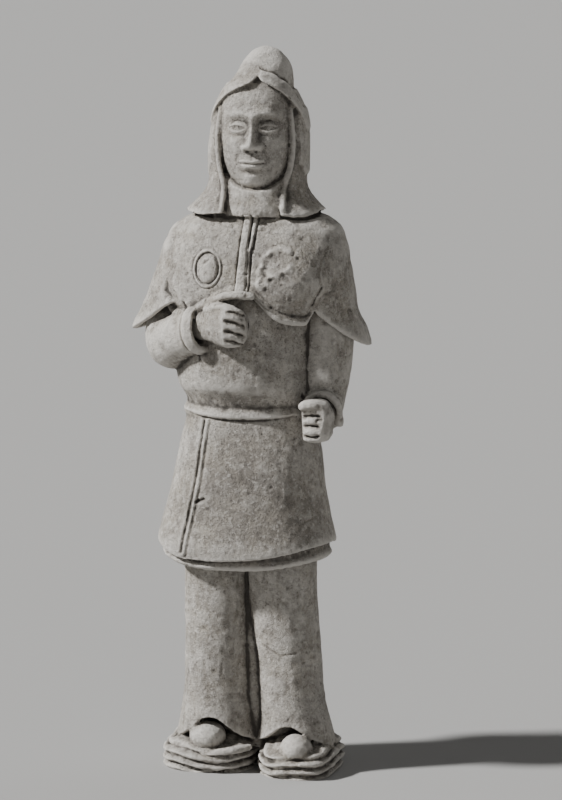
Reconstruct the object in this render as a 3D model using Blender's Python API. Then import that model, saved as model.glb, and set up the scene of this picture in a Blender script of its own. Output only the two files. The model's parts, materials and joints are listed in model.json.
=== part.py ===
"""A standing warrior in grey fired clay, in a hooded cap, shoulder cape, belted tunic and wide trousers.

The figure is one piece of clay. Simple forms are lofted from sections or swept along paths, fused into one
skin, softened as wet clay would be, and carved with strokes. It stands on z = 0 and faces -Y.
"""

import math

import bmesh
import bpy
import numpy as np
from mathutils import Matrix

# Sole to crown in metres, and the figure's own unit: 550 of them make its height.
HEIGHT = 0.55
UNIT = HEIGHT / 550

# Heights of the main lines, in units.
PAD_TOP = 19
TROUSER_HEM = 25
SKIRT_HEM = 169
BELT_FOOT = 274
BELT_TOP = 283
JACKET_HEM = 349
CAPE_HEM = 334
NECKLINE = 428
CHIN = 447
HAIRLINE = 523
BRIM_BACK = 495
CROWN = 550

# The head looks a little to the figure's left, about this upright axis,
# and is set a little to the figure's right.
HEAD_TURN = math.radians(4.5)
HEAD_AXIS = (4.0, 10.0)
HEAD_SHIFT = -2.0

# Clay thickness at a hem, how far a hem is cupped behind its edge,
# the depth of a sleeve's mouth, and the size of the hood's welt.
HEM_THICKNESS = 4.0
HEM_CUP = 6.0
SLEEVE_MOUTH = 9.0
WELT = 2.1

# Skin of the fused clay: the step it is rebuilt at, how often it is eased, and its triangles in the end.
CLAY_STEP = 1.3
EASINGS = 3
TRIANGLES = 9700

# The pads under the right and left foot: middle, half width, depth in front, and the phase of their waves.
PADS = ((-33, 36.5, 38, 0.4), (37, 30.5, 43, 2.1))
PAD_FOLDS = 3

CLAY_COLOUR = (0.46, 0.43, 0.39, 1.0)


def eased(share):
    """0 below 0 and 1 above 1, with a soft start and end between."""
    share = np.clip(share, 0.0, 1.0)
    return share * share * (3 - 2 * share)


def bell(distance, width):
    """1 at no distance, falling softly to nothing at about twice the width."""
    return np.exp(-((distance / width) ** 2))


def through(keys, values, at):
    """Values on a smooth curve through the given ones, which belong to rising keys."""
    keys, values = np.asarray(keys, float), np.asarray(values, float)
    slopes = np.gradient(values, keys, axis=0)
    at = np.clip(at, keys[0], keys[-1])
    left = np.clip(np.searchsorted(keys, at) - 1, 0, len(keys) - 2)
    span = keys[left + 1] - keys[left]
    t = (at - keys[left]) / span
    if values.ndim > 1:
        t, span = t[..., None], span[..., None]
    start = (1 + 2 * t) * (1 - t) ** 2 * values[left] + t * (1 - t) ** 2 * span * slopes[left]
    end = t * t * (3 - 2 * t) * values[left + 1] + t * t * (t - 1) * span * slopes[left + 1]
    return start + end


def skin(rings):
    """A closed mesh over rings of equally many points, with a fan over each end."""
    rings = [np.asarray(ring, float) * UNIT for ring in rings]
    count = len(rings[0])
    shape = bmesh.new()
    corners = [[shape.verts.new(point) for point in ring] for ring in rings]
    for lower, upper in zip(corners, corners[1:]):
        for i in range(count):
            j = (i + 1) % count
            shape.faces.new((lower[i], lower[j], upper[j], upper[i]))
    for ring, points in ((corners[0], rings[0]), (corners[-1], rings[-1])):
        hub = shape.verts.new(points.mean(axis=0))
        for i in range(count):
            shape.faces.new((hub, ring[i], ring[(i + 1) % count]))
    bmesh.ops.recalc_face_normals(shape, faces=shape.faces)
    mesh = bpy.data.meshes.new("form")
    shape.to_mesh(mesh)
    shape.free()
    form = bpy.data.objects.new("form", mesh)
    bpy.context.scene.collection.objects.link(form)
    return form


def outline(turn, wide, front, back, square):
    """A section's offset from its centre. turn is 0 at the front and a quarter turn at +X."""
    side, ahead = np.sin(turn), np.cos(turn)
    depth = np.where(ahead > 0, front, back)
    power = 2 / square
    x = wide * np.sign(side) * np.abs(side) ** power
    y = -depth * np.sign(ahead) * np.abs(ahead) ** power
    return x, y


def drape(rows, foot, square=2.2, relief=None, cup=0.0, levels=48, sides=112):
    """A form that hangs from its highest row to a foot, whose height may change round the figure.

    Rows are (z, centre x, centre y, half width, front depth, back depth). relief(turn, z) pushes it out.
    cup is how far the form is hollowed behind its hem, which may change round the figure too.
    """
    rows = np.array(sorted(rows), float)
    turn = np.linspace(-math.pi, math.pi, sides, endpoint=False)
    top = rows[-1, 0]
    low = foot(turn) if callable(foot) else np.full(sides, float(foot))
    rings = []
    for share in np.linspace(0, 1, levels):
        z = top + (low - top) * share
        x, y, wide, front, back = through(rows[:, 0], rows[:, 1:], z).T
        push = relief(turn, z) if relief else 0
        dx, dy = outline(turn, wide + push, front + push, back + push, square)
        rings.append(np.stack([x + dx, y + dy, z], axis=1))
    if cup:
        edge = rings[-1]
        inward = edge.mean(axis=0) - edge
        inward[:, 2] = 0
        inward *= HEM_THICKNESS / np.linalg.norm(inward, axis=1)[:, None]
        rings.append(edge + inward)
        roof = edge + 1.6 * inward
        roof[:, 2] += cup(turn) if callable(cup) else cup
        rings.append(roof)
    return skin(rings)


def limb(path, widths, heights, up=(0, 0, 1), mouth=False, steps=28, sides=36):
    """A tube along a smooth path. Its half width is across up and its half height along up, at each point."""
    keys = np.linspace(0, 1, len(path))
    at = np.linspace(0, 1, steps)
    line = through(keys, path, at)
    wide, high = through(keys, widths, at), through(keys, heights, at)
    along = np.gradient(line, axis=0)
    along /= np.linalg.norm(along, axis=1)[:, None]
    across = np.cross(along, np.asarray(up, float))
    across /= np.linalg.norm(across, axis=1)[:, None]
    rise = np.cross(across, along)
    turn = np.linspace(0, 2 * math.pi, sides, endpoint=False)

    def ring(i, size=1.0, back=0.0):
        spread = np.outer(np.cos(turn), across[i]) * wide[i] + np.outer(np.sin(turn), rise[i]) * high[i]
        return line[i] + size * spread - back * along[i]

    start = [ring(0, 0.55, 0.35 * min(wide[0], high[0]))]
    if mouth:
        end = [ring(-1, 0.8), ring(-1, 0.7, SLEEVE_MOUTH)]
    else:
        end = [ring(-1, 0.6, -0.35 * min(wide[-1], high[-1]))]
    return skin(start + [ring(i) for i in range(steps)] + end)


def ball(centre, radii):
    """An egg-shaped lump."""
    turn = np.linspace(0, 2 * math.pi, 32, endpoint=False)
    rings = []
    for tilt in np.linspace(-0.47, 0.47, 17) * math.pi:
        across = np.stack([np.cos(turn), np.sin(turn), np.zeros(32)], axis=1) * math.cos(tilt)
        rings.append(np.asarray(centre) + (across + [0, 0, math.sin(tilt)]) * radii)
    return skin(rings)


def pad(x, wide, front, phase):
    """The rough clay under a foot, lapped over itself in wavy folds round its edge."""
    depth = 1.5

    def relief(turn, z):
        wave = 1.8 * np.sin(2 * turn + phase) + 1.0 * np.sin(5 * turn + 2 * phase)
        return depth * np.cos(2 * math.pi * PAD_FOLDS * (z + wave) / PAD_TOP)

    rows = [
        (PAD_TOP + 7, x, 8, wide - 16, front - 24, 20),
        (PAD_TOP + 1, x, 5, wide - 5, front - 5, 28),
        (PAD_TOP - 4, x, 5, wide - 1, front + 2, 30),
        (PAD_TOP / 2, x, 5, wide, front + 3, 31),
        (-4, x, 5, wide - 2, front + 1, 30),
    ]
    return drape(rows, -4, square=2.9, relief=relief)


def trouser(x_top, x_foot, wide_top, wide_foot, front, arch, lean, pinch):
    """One wide trouser leg. Its hem arches over the toes and drags on the pad behind.

    lean below 1 makes the leg move out early on its way down, and pinch narrows it at the knee.
    """

    def foot(turn):
        return TROUSER_HEM - 9 * (1 - np.cos(turn)) / 2 + arch * bell(turn, 0.62)

    def relief(turn, z):
        flare = np.clip(1 - z / 60, 0, 1) ** 2
        return 1.6 * flare * np.cos(4 * turn)

    def leg(z, share, grow):
        x = x_top + (x_foot - x_top) * share ** lean
        return (z, x, 3 - 2 * share, wide_top + grow, 27 + grow, 26 + grow)

    spread = wide_foot - wide_top
    rows = [
        leg(190, 0, 1.5),
        leg(140, 0.0, 0.0),
        leg(85, 0.3, 0.2 * spread - pinch),
        leg(57, 0.55, 0.35 * spread - 1.3 * pinch),
        leg(40, 0.8, 0.7 * spread - 1.2 * pinch),
        (TROUSER_HEM - 12, x_foot, 1, wide_foot + 2, front, 31),
    ]

    def over_toes(turn):
        return 9 * bell(turn, 0.7)

    return drape(rows, foot, square=2.1, relief=relief, cup=over_toes)


def feet():
    """Both trouser legs, the clay left between them, the round toes and the pads. The left foot leads."""
    between = limb([(-1, 2, 172), (0, 2, 110), (3, 1, 55), (4, 1, 16)], [9] * 4, [11] * 4, up=(0, -1, 0))
    turned_lap = limb(
        [(-34, -33.5, 12), (-21, -34, 15.5), (-9, -31.5, 18), (2, -22, 19)],
        [3.2, 3.6, 3.6, 3],
        [3, 3.4, 3.4, 3],
        sides=16,
    )
    return [
        between,
        turned_lap,
        *(pad(*sizes) for sizes in PADS),
        trouser(-28.3, -28, 25.6, 32.5, 31, 17, 1, 0.8),
        trouser(21.7, 33, 26.1, 29.5, 36, 12.5, 0.6, 1.9),
        ball((-32, -21, 26), (14, 13.5, 11)),
        ball((38.5, -27, 20.8), (12.6, 13.5, 10.6)),
    ]


def skirt_rows(inset):
    """Rows of the tunic's skirt, drawn in by inset all round."""
    rows = [
        (BELT_TOP, -0.5, 1, 50, 36, 34),
        (BELT_FOOT, -1, 1, 50.5, 36.5, 34),
        (240, -3, 0, 55.5, 39, 37),
        (211, -4.5, 0, 60.5, 41.5, 39),
        (SKIRT_HEM + 18, -5.5, 0, 66.5, 44, 42),
        (SKIRT_HEM + 10, -5.5, 0, 68.5, 45, 43),
        (SKIRT_HEM - 14, -5.5, 0, 65, 42.5, 41),
    ]
    return [(z, x, y, wide - inset, front - inset, back - inset) for z, x, y, wide, front, back in rows]


def skirt():
    """The belted skirt: an outer layer whose hem lifts at the sides, and an under layer below it."""

    def level(turn):
        return SKIRT_HEM - 1 + 10 * np.abs(np.sin(turn)) ** 2.5

    def outer_foot(turn):
        return level(turn) + 3.6 * np.sin(2 * turn)

    def under_foot(turn):
        return level(turn) + 1.2 * np.sin(2 * turn) - 9 - 3 * np.sin(turn) ** 4

    def overlap(turn, z):
        # The wrapped edge runs down the figure's right front, from the belt to the hem.
        edge = -0.72 - 0.0012 * (BELT_FOOT - z)
        return 0.5 * eased((turn - edge) / 0.05) * eased((1.6 - turn) / 0.8)

    def rolled(turn, z):
        return 3.2 * bell(z - under_foot(turn) - 2.8, 2.6)

    return [
        drape(skirt_rows(0), outer_foot, square=2.35, relief=overlap, cup=HEM_CUP),
        drape(skirt_rows(5.5), under_foot, square=2.35, relief=rolled, cup=HEM_CUP, levels=80),
    ]


def torso():
    """Belly and chest under the jacket, with the belt drawn tight below."""
    rows = [
        (NECKLINE + 4, 2, 4, 30, 26, 30),
        (405, 2.5, 2, 58, 36, 36),
        (370, -2.5, 0, 56, 41, 38),
        (340, -5, 0, 53, 43, 38),
        (312, -4.5, 0, 54, 45.5, 38),
        (298, -3.5, 0, 53, 44.5, 37),
        (BELT_TOP + 4, -1, 0.5, 50, 38.5, 34.5),
        (BELT_TOP - 6, -1, 1, 49, 35.5, 34),
    ]
    belt = [
        (BELT_TOP + 0.5, -0.5, 1, 50.5, 37, 35),
        (BELT_TOP - 2, -0.5, 1, 52, 38.6, 36),
        (BELT_FOOT + 2, -1, 1, 52.5, 39, 36.4),
        (BELT_FOOT, -1, 1, 51, 37.5, 35),
    ]
    return [drape(rows, BELT_TOP - 6), drape(belt, BELT_FOOT, levels=10)]


def jacket():
    """The close front of the jacket. Its hem rises over the middle and dips under each breast."""

    def foot(turn):
        middle = np.where(turn < 0, 22 * bell(turn - 0.02, 0.46), 22 * bell(turn + 0.045, 0.34))
        ends = 16 * eased((turn - 0.8) / 0.14) + 6 * eased((-turn - 1.0) / 0.4)
        return JACKET_HEM + middle - 3 * eased(turn / 0.3) + ends

    def relief(turn, z):
        # The left breast swells the most, and a rolled band follows the hem.
        breasts = 7.0 * bell(turn - 0.48, 0.34) * bell(z - 382, 20)
        breasts += 3.0 * bell(turn + 0.55, 0.4) * bell(z - 380, 24)
        valley = 1.5 * bell(turn - 0.07, 0.12) * bell(z - 392, 34)
        band = 2.4 * bell(z - foot(turn) - 3.0, 2.9) * eased((0.9 - turn) / 0.12)
        groove = 1.0 * bell(z - foot(turn) - 7.4, 1.4)
        return breasts - valley + band - groove

    rows = [
        (NECKLINE + 2, 3, 4.5, 30, 23, 31),
        (NECKLINE - 3, 3, 4.5, 49, 28, 36),
        (419, 2.5, 3.5, 60, 32.5, 38),
        (407, 2.5, 2.5, 67.5, 38, 39),
        (388, 2, 1.5, 71.5, 41.5, 40),
        (371, 1.5, 0, 70, 44, 40),
        (JACKET_HEM + 4, 1, 0, 63.5, 46, 40),
        (JACKET_HEM - 6, 1, 0, 63, 46, 40),
    ]
    roll = limb(
        [
            (-27, -43, 358),
            (-20, -46.5, 363.5),
            (-12, -49, 368),
            (-3, -50, 369.5),
            (5, -50, 369.5),
            (11, -49, 368.5),
        ],
        [2.6, 3.0, 3.4, 3.4, 3.2, 2.6],
        [2.2, 2.6, 3.0, 3.0, 3.0, 2.6],
        steps=36,
        sides=16,
    )
    return [drape(rows, foot, relief=relief, cup=HEM_CUP, levels=80), roll]


def cape():
    """The shoulder cape: open at the front, flaring to a pointed corner over each arm."""

    def foot(turn):
        away = np.abs(turn)
        right_arm = through([0.6, 0.8, 1.0, 1.3, 1.6, 2.2], [30, 23, 14, 5, 2, 5], away)
        left_arm = through([0.6, 0.7, 0.86, 1.0, 1.3, 1.6, 2.2], [34, 27, 16, 8, -3, -5.5, 5], away)
        return CAPE_HEM + np.where(turn < 0, right_arm, left_arm)

    def opening(turn, z):
        # Inside its front edges, which run out sideways to the shoulders, the cape sinks behind the jacket.
        right_arm = 0.62 + 0.23 * eased((z - 358) / 12) + 0.3 * eased((z - 396) / 20)
        left_arm = 0.70 + 0.17 * eased((z - 361) / 10) + 0.3 * eased((z - 393) / 20)
        over = eased((np.abs(turn) - np.where(turn < 0, right_arm, left_arm)) / 0.06)
        folds = 0.6 * np.cos(9 * turn + 0.5) * eased((392 - z) / 50)
        return -9 * (1 - over) + folds * over

    rows = [
        (NECKLINE + 2, 3, 5, 30, 23, 32),
        (NECKLINE - 3, 3, 5, 50, 28, 38),
        (419, 2.5, 4, 61, 33, 40),
        (407, 1.2, 3, 68.8, 38, 41),
        (388, 0.0, 3, 74, 41.5, 42),
        (371, -1.3, 3, 78.3, 43.5, 43),
        (353, -3.3, 3, 83.8, 45, 44),
        (340, -3.4, 3, 89.9, 46, 46),
        (CAPE_HEM - 8, -2.5, 3, 94, 46.5, 47),
    ]
    return [drape(rows, foot, square=2.15, relief=opening, cup=1.6 * HEM_CUP, sides=160)]


def right_fist():
    """The fist at the chest: its back slants in from the cuff, and its fingers fold round to the palm."""
    hand = limb(
        [
            (-38, -34, 343),
            (-25, -45, 346),
            (-13, -55, 347.5),
            (-5, -60, 347),
            (2, -58.5, 346),
            (4.5, -52, 345),
        ],
        [6, 6.8, 7.2, 6.5, 5.2, 4],
        [9, 11.2, 14.6, 15.4, 14.2, 11.5],
        steps=44,
    )
    thumb = limb(
        [(-24, -46, 356.5), (-15, -53.5, 360), (-5, -57.5, 359.5), (2.5, -57, 356.5)],
        [5, 5.5, 5, 3.5],
        [5, 4.4, 3.8, 3],
        steps=20,
        sides=16,
    )
    return [hand, thumb, ball((-6, -52, 346), (10, 10, 13))]


def left_fist():
    """The fist at the hip: a rounded block, with the thumb lying over its top."""
    rows = [
        (292.5, 56, -37, 3, 3, 3),
        (291, 56, -38, 7.5, 7, 5),
        (287, 56, -38, 10.2, 10.5, 7),
        (283, 57, -37.5, 11.3, 12, 9),
        (273, 57.5, -37.5, 11.3, 12, 9),
        (265, 57, -37.5, 10.3, 11, 8.5),
        (261.5, 56, -37.5, 8.5, 8.5, 7),
        (260, 55.5, -37.5, 4, 5, 3),
    ]
    thumb = limb(
        [(63, -41, 286.5), (57, -45, 288.5), (50.5, -46.5, 288.8), (46.5, -45, 286.8)],
        [5, 5, 4.8, 3.6],
        [4.8, 4.8, 4.4, 3.4],
        steps=20,
        sides=16,
    )
    wrist = limb([(57, -36, 275), (57.5, -27, 277), (57.5, -12, 282)], [8.5] * 3, [8.5] * 3, up=(1, 0, 0))
    return [drape(rows, 260, square=2.7, levels=30, sides=64), thumb, wrist]


def arms():
    """The right arm bent across the chest and the left one hanging, in wide sleeves, with their fists."""
    right = limb(
        [
            (-54, 2, 366),
            (-63, 2, 343),
            (-60, -12, 329),
            (-49, -27, 334.5),
            (-39.5, -34.5, 339.5),
            (-34.3, -37.8, 341.7),
            (-29.5, -40.5, 343.2),
        ],
        [14, 19, 20, 17.5, 14.3, 15, 13.8],
        [14, 19, 20.5, 18.3, 17, 18.6, 17.8],
        up=(0.2, 0.2, 1),
        mouth=True,
        steps=48,
    )
    left = limb(
        [(54, 4, 366), (57.3, 1, 335), (56.3, -3, 305), (57, -10, 288), (57, -22, 280)],
        [18, 19, 18, 15, 15],
        [20, 23, 22, 17.5, 18.5],
        up=(0, -1, 0.2),
        mouth=True,
    )
    left_tail = limb(
        [(64, -12, 286), (68, -15, 276), (70, -16, 269)],
        [6, 4, 2],
        [6, 4, 2],
        up=(0, -1, 0),
        steps=12,
    )
    return [right, left, left_tail, *right_fist(), *left_fist()]


def turned(forms):
    """The head's forms, drawn facing -Y, swung about its upright axis and set in their place on the neck."""
    x, y = (value * UNIT for value in HEAD_AXIS)
    placed = Matrix.Translation((x + HEAD_SHIFT * UNIT, y, 0))
    swing = placed @ Matrix.Rotation(HEAD_TURN, 4, "Z") @ Matrix.Translation((-x, -y, 0))
    for form in forms:
        form.data.transform(swing)
    return forms


def face():
    """The plain egg of the face, to be carved, and the wrapped collar under it."""
    rows = [
        (HAIRLINE, 4, 8, 24, 22, 26),
        (514, 4, 8, 27, 28, 28),
        (504, 4, 7, 28.2, 30.5, 28),
        (492, 4, 6, 28.4, 31, 28),
        (476, 4, 6, 27.8, 31.5, 28),
        (463, 4, 5, 25.2, 30.5, 26),
        (453, 4, 3, 20, 27, 20),
        (CHIN, 4, 1, 12, 21.5, 12),
        (CHIN - 3, 4, 1, 5, 12, 6),
    ]
    collar = [
        (456, 5, 3, 26.5, 25, 22),
        (CHIN, 5, 2.5, 28, 27.5, 22),
        (437, 5, 2, 29, 30, 22),
        (NECKLINE + 2, 5, 2, 29.5, 32, 22),
        (NECKLINE - 2, 5, 2, 29.5, 32, 22),
    ]

    def wrapped(turn, z):
        # The collar's top dips under the chin and rises into the hood.
        top = CHIN - 2.5 + 7 * (turn / 0.8) ** 2
        return -9 * eased((z - top) / 1.5)

    return [drape(rows, CHIN - 3, levels=60), drape(collar, NECKLINE - 2, relief=wrapped, cup=3, levels=34)]


def opening_edge():
    """Heights down the hood's opening, and its half width at each."""
    places = [
        (NECKLINE - 14, 22.5),
        (435, 21.5),
        (448, 21.5),
        (460, 25),
        (482, 27),
        (505, 25),
        (533, 22),
    ]
    z, half = np.array(places).T
    levels = np.linspace(z[-1], z[0], 30)
    return levels, through(z, half, levels)


def hood_foot(turn):
    """Lower edge of the hood on the shoulders and back."""
    dips = 3 * bell(turn - 0.75, 0.35) + 1.8 * bell(turn + 0.8, 0.4)
    return NECKLINE + 0.5 - dips - 10 * eased((np.abs(turn) - 1.6) / 1.2)


def hood():
    """The cloth of the hood, spreading on the shoulders, open over the face and welted round the opening."""
    rows = [
        (522, 5.8, 12, 21, 22, 24),
        (512, 5.2, 12, 28, 27.5, 30),
        (502, 4.8, 11.5, 32.5, 30.5, 33.5),
        (490, 4.3, 11, 35, 31.5, 35.5),
        (472, 3.3, 11, 36.3, 31.5, 36),
        (455, 3.2, 10.5, 36.8, 32, 36),
        (446, 3, 10, 38, 32.5, 37),
        (439, 2.5, 8.5, 42, 34, 39),
        (432, 2, 7, 49, 36.5, 42),
        (426, 2, 6, 55.5, 38.5, 44.5),
        (420, 2, 5, 59.5, 40, 46),
    ]
    levels, halves = opening_edge()

    cloth = drape(rows, hood_foot, square=2.15)
    rings = []
    for depth in (-70, -4):
        left = np.stack([HEAD_AXIS[0] - halves, np.full(len(levels), depth), levels], axis=1)
        right = np.stack([HEAD_AXIS[0] + halves, np.full(len(levels), depth), levels], axis=1)
        rings.append(np.concatenate([left, right[::-1]]))
    cutter = skin(rings)
    cut = cloth.modifiers.new("Opening", "BOOLEAN")
    cut.operation = "DIFFERENCE"
    cut.object = cutter
    applied(cloth)
    bpy.data.objects.remove(cutter)

    welts = []
    z, x, y, wide, front, _ = np.array(sorted(rows), float).T
    down = (levels < 514) & (levels > NECKLINE)
    for side in (-1, 1):
        out = HEAD_AXIS[0] + side * (halves[down] + 1.2)
        middle, reach, ahead = (np.interp(levels[down], z, row) for row in (x, wide, front))
        rounded = (1 - np.abs((out - middle) / reach) ** 2.15) ** (1 / 2.15)
        depth = np.interp(levels[down], z, y) - ahead * rounded
        path = np.stack([out, depth - 0.4, levels[down]], axis=1)
        size = [WELT] * len(path)
        welts.append(limb(path, size, size, up=(0, -1, 0), steps=40, sides=16))
    return [cloth, *welts]


def ear_flaps():
    """The second layer of cloth behind each front flap, from the brim down to the jaw."""
    rows = [
        (518, 5.5, 12, 27, 27, 30),
        (505, 5, 12, 33.5, 30, 36),
        (490, 4.4, 12, 36.7, 31, 38),
        (470, 3.6, 12, 38.2, 31, 39),
        (450, 3.4, 12, 38.4, 31, 39),
    ]

    def foot(turn):
        return 455 + 5 * eased((np.abs(turn) - 1.4) / 1.0) + 9 * eased((1.35 - np.abs(turn)) / 0.3)

    def sides_only(turn, z):
        beside = eased((np.abs(turn) - 0.95) / 0.12) * eased((2.35 - np.abs(turn)) / 0.25)
        return -7 * (1 - beside)

    return [drape(rows, foot, relief=sides_only)]


def brow_lift(turn):
    """How much higher the brim's lower edge runs over the brow."""
    return 3 * bell(turn - 0.15, 0.45)


def brim_foot(turn):
    """Lower edge of the cap's brim: two lobes part at a peak over the brow, and droop to the temples."""
    away = np.minimum(np.abs(turn), 1.4)
    droop = np.where(turn > 0, 13.0, 11.0) * away ** 2.65
    lobe = HAIRLINE + 4 + brow_lift(turn) - 6.2 * (1 - np.exp(-away / 0.1)) - droop
    behind = eased((np.abs(turn) - 1.7) / 1.2)
    return lobe + (BRIM_BACK - lobe) * behind


def brim_edge(turn):
    """Upper edge of the brim's turned-up lobe."""
    height = 11.5 - brow_lift(turn) + 4.5 * eased((np.abs(turn) - 0.7) / 0.4)
    return brim_foot(turn) + height - 2 * bell(turn, 0.12)


def cap():
    """The domed cap, and its brim, whose left lobe is turned up."""
    dome = [
        (CROWN, 9, 14, 1.5, 1.5, 1.5),
        (CROWN - 1.5, 9, 14, 6.5, 7, 7.5),
        (CROWN - 6, 9, 14, 12.8, 13.5, 14),
        (CROWN - 11, 9, 14, 17, 18.5, 18.5),
        (533, 8.6, 14, 20, 23, 23.5),
        (526, 7.8, 13.5, 21.8, 25.5, 25.5),
        (516, 6.5, 13, 23.5, 28.5, 28),
        (505, 5, 12.5, 27, 30, 31),
    ]
    brim = [
        (540, 8.4, 13.8, 15.5, 16.5, 16.5),
        (533, 7.6, 13.6, 20.4, 23.5, 23.8),
        (527, 6.4, 13.4, 22.4, 29, 27),
        (522, 5.4, 13.0, 26.0, 33.5, 29.8),
        (513, 4.6, 12.5, 31.0, 37.5, 33.5),
        (504, 4.3, 12.0, 34.8, 39, 37),
        (494, 4.2, 12.0, 36.6, 39.5, 39.8),
        (484, 4.2, 12.0, 38.0, 40, 41.5),
    ]

    def turned_up(turn, z):
        # The left lobe is a band that stands off the dome under a crisp edge.
        # The right one flows out of the dome.
        crisp = eased((turn + 0.01) / 0.05)
        edge = brim_edge(turn)
        proud = 2.6 - 1.9 * eased((turn - 0.8) / 0.5)
        band = proud * eased((edge - z) / 1.2) - 12 * eased((z - edge) / 1.6)
        flow = -12 * eased((z - edge - 8) / 6)
        return crisp * band + (1 - crisp) * flow

    lobes = drape(brim, brim_foot, relief=turned_up, cup=2.5, levels=72, sides=200)
    return [drape(dome, 505, levels=40), lobes]


def applied(form):
    """Gives the form the mesh that its modifiers make, and drops the modifiers."""
    graph = bpy.context.evaluated_depsgraph_get()
    made = bpy.data.meshes.new_from_object(form.evaluated_get(graph))
    form.modifiers.clear()
    form.data = made
    return form


def fused(forms):
    """One skin of clay round all the forms, with the joins eased."""
    whole = forms[0]
    joined = bmesh.new()
    for form in forms:
        joined.from_mesh(form.data)
    joined.to_mesh(whole.data)
    joined.free()
    for form in forms[1:]:
        bpy.data.objects.remove(form)
    skin_over = whole.modifiers.new("Clay", "REMESH")
    skin_over.mode = "VOXEL"
    skin_over.voxel_size = CLAY_STEP * UNIT
    ease = whole.modifiers.new("Ease", "SMOOTH")
    ease.factor = 0.5
    ease.iterations = EASINGS
    return applied(whole)


def line_distance(x, z, points):
    """How far each spot (x, z) is from a line through the points, seen from the front."""
    nearest = np.full(len(x), 1e9)
    for (x0, z0), (x1, z1) in zip(points, points[1:]):
        run, rise = x1 - x0, z1 - z0
        share = np.clip(((x - x0) * run + (z - z0) * rise) / (run * run + rise * rise), 0, 1)
        nearest = np.minimum(nearest, np.hypot(x - x0 - share * run, z - z0 - share * rise))
    return nearest


def features(across, z):
    """How far the face stands out from its egg. across is the distance from its middle line."""
    side = np.abs(across)
    eye_z, eye_x = 492.0, 10.8
    out = -2.8 * bell(side - eye_x + 1, 7.5) * bell(z - eye_z - 0.5, 5.5)
    out += 3.0 * bell(np.hypot((side - eye_x) / 6.2, (z - eye_z) / 4.0), 0.85)
    lid = eye_z + 3.2 * np.sqrt(np.clip(1 - ((side - eye_x) / 7.4) ** 2, 0, 1))
    out += 0.8 * bell(z - lid, 1.3) * eased((7.8 - np.abs(side - eye_x)) / 2)
    brow = 500.0 + 2.0 * np.sin(np.clip((side - 2) / 18, 0, 1) * math.pi)
    out += 1.4 * bell(z - brow, 3.4) * eased((21 - side) / 7)
    down = np.clip((501 - z) / (501 - 477), 0, 1)
    nose = (1.6 + 6.8 * down ** 1.4) * bell(side, 3.2 + 2.4 * down)
    out += nose * eased((z - 471.5) / 5.5) * eased((506 - z) / 10)
    out += 2.4 * bell(side - 5.6, 2.8) * bell(z - 476.2, 3.2)
    out += 2.6 * bell(side, 12) * bell(z - 465.5, 9)
    smile = 465.2 + 0.012 * side ** 2
    within = eased((11 - side) / 4.5)
    out += 1.3 * bell(z - smile - 2.1, 1.8) * within
    out += 1.6 * bell(z - smile + 2.3, 2.0) * eased((9.5 - side) / 5)
    out -= 1.2 * bell(z - smile, 0.9) * within
    out -= 1.1 * bell(side, 8) * bell(z - 459.4, 2.2)
    out += 2.4 * bell(side, 8.5) * bell(z - 453, 5)
    out += 1.8 * bell(side - 16, 9) * bell(z - 479, 10)
    return out


def carve(mesh):
    """Strokes that move the skin of the front: seams, roundels, the belt's line and the face."""
    count = len(mesh.vertices)
    spots = np.empty(count * 3)
    mesh.vertices.foreach_get("co", spots)
    spots = spots.reshape(-1, 3) / UNIT
    facing = np.empty(count * 3)
    mesh.vertices.foreach_get("normal", facing)
    ahead = eased(-facing.reshape(-1, 3)[:, 1] * 2.5)
    x, y, z = spots.T
    front = ahead * (y < 0)

    push = np.zeros(count)
    chest = front * (z > 368) * (z < NECKLINE - 2)
    push += 2.0 * bell(line_distance(x, z, [(1.9, 430), (0.4, 371)]), 2.9) * chest
    push += 1.7 * bell(line_distance(x, z, [(8.2, 430), (6.6, 410), (5.2, 401), (5.2, 371)]), 1.4) * chest
    push -= 1.2 * bell(line_distance(x, z, [(5.2, 430), (3.8, 401), (3.6, 371)]), 0.9) * chest
    for middle, high, wide in ((-26.3, 387.8, 10.2), (26, 389, 13)):
        rim = np.hypot((x - middle) / wide, (z - high) / 13.0)
        push += 0.9 * bell((rim - 1) * wide, 1.2) * front
        push -= 0.8 * bell((rim - 0.8) * wide, 1.0) * front
        push += 1.6 * eased((0.75 - rim) / 0.5) * front
    push -= 0.9 * bell(z - BELT_FOOT + 0.4, 0.9) * (np.hypot(x, y) > 30) * (np.abs(y) < 60) * (x < 38)
    seam = line_distance(x, z, [(-30.5, 272), (-36.6, 226), (-47.7, 172)])
    push += (0.9 * bell(seam - 1.6, 1.1) - 1.1 * bell(seam, 1.0)) * front * (z < BELT_FOOT)

    for low_z, centre, reach in ((338.4, (-1, -60, 347), 20), (265.5, (56, -46, 277), 19)):
        near = (np.linalg.norm(spots - centre, axis=1) < reach) * front
        slant = 0.25 if centre[0] < 0 else 0
        for gap in range(3):
            line = low_z + 7.3 * gap - slant * (x - centre[0])
            push -= 2.2 * bell(z - line, 1.2) * eased((9 - np.abs(x - centre[0])) / 2) * near

    aside, behind = x - HEAD_AXIS[0] - HEAD_SHIFT, y - HEAD_AXIS[1]
    cos, sin = math.cos(HEAD_TURN), math.sin(HEAD_TURN)
    across = aside * cos + behind * sin
    depth = behind * cos - aside * sin
    on_face = (np.abs(across) < 24) * (z > CHIN - 1) * (z < HAIRLINE) * (depth < -14) * front
    push += features(across, z) * on_face

    spots[:, 1] -= push
    mesh.vertices.foreach_set("co", (spots * UNIT).ravel())
    mesh.update()


def faceted(form):
    """Brings the skin down to its few triangles."""
    thin = form.modifiers.new("Facets", "DECIMATE")
    thin.use_collapse_triangulate = True
    thin.ratio = TRIANGLES / sum(len(face.vertices) - 2 for face in form.data.polygons)
    applied(form)


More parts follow.
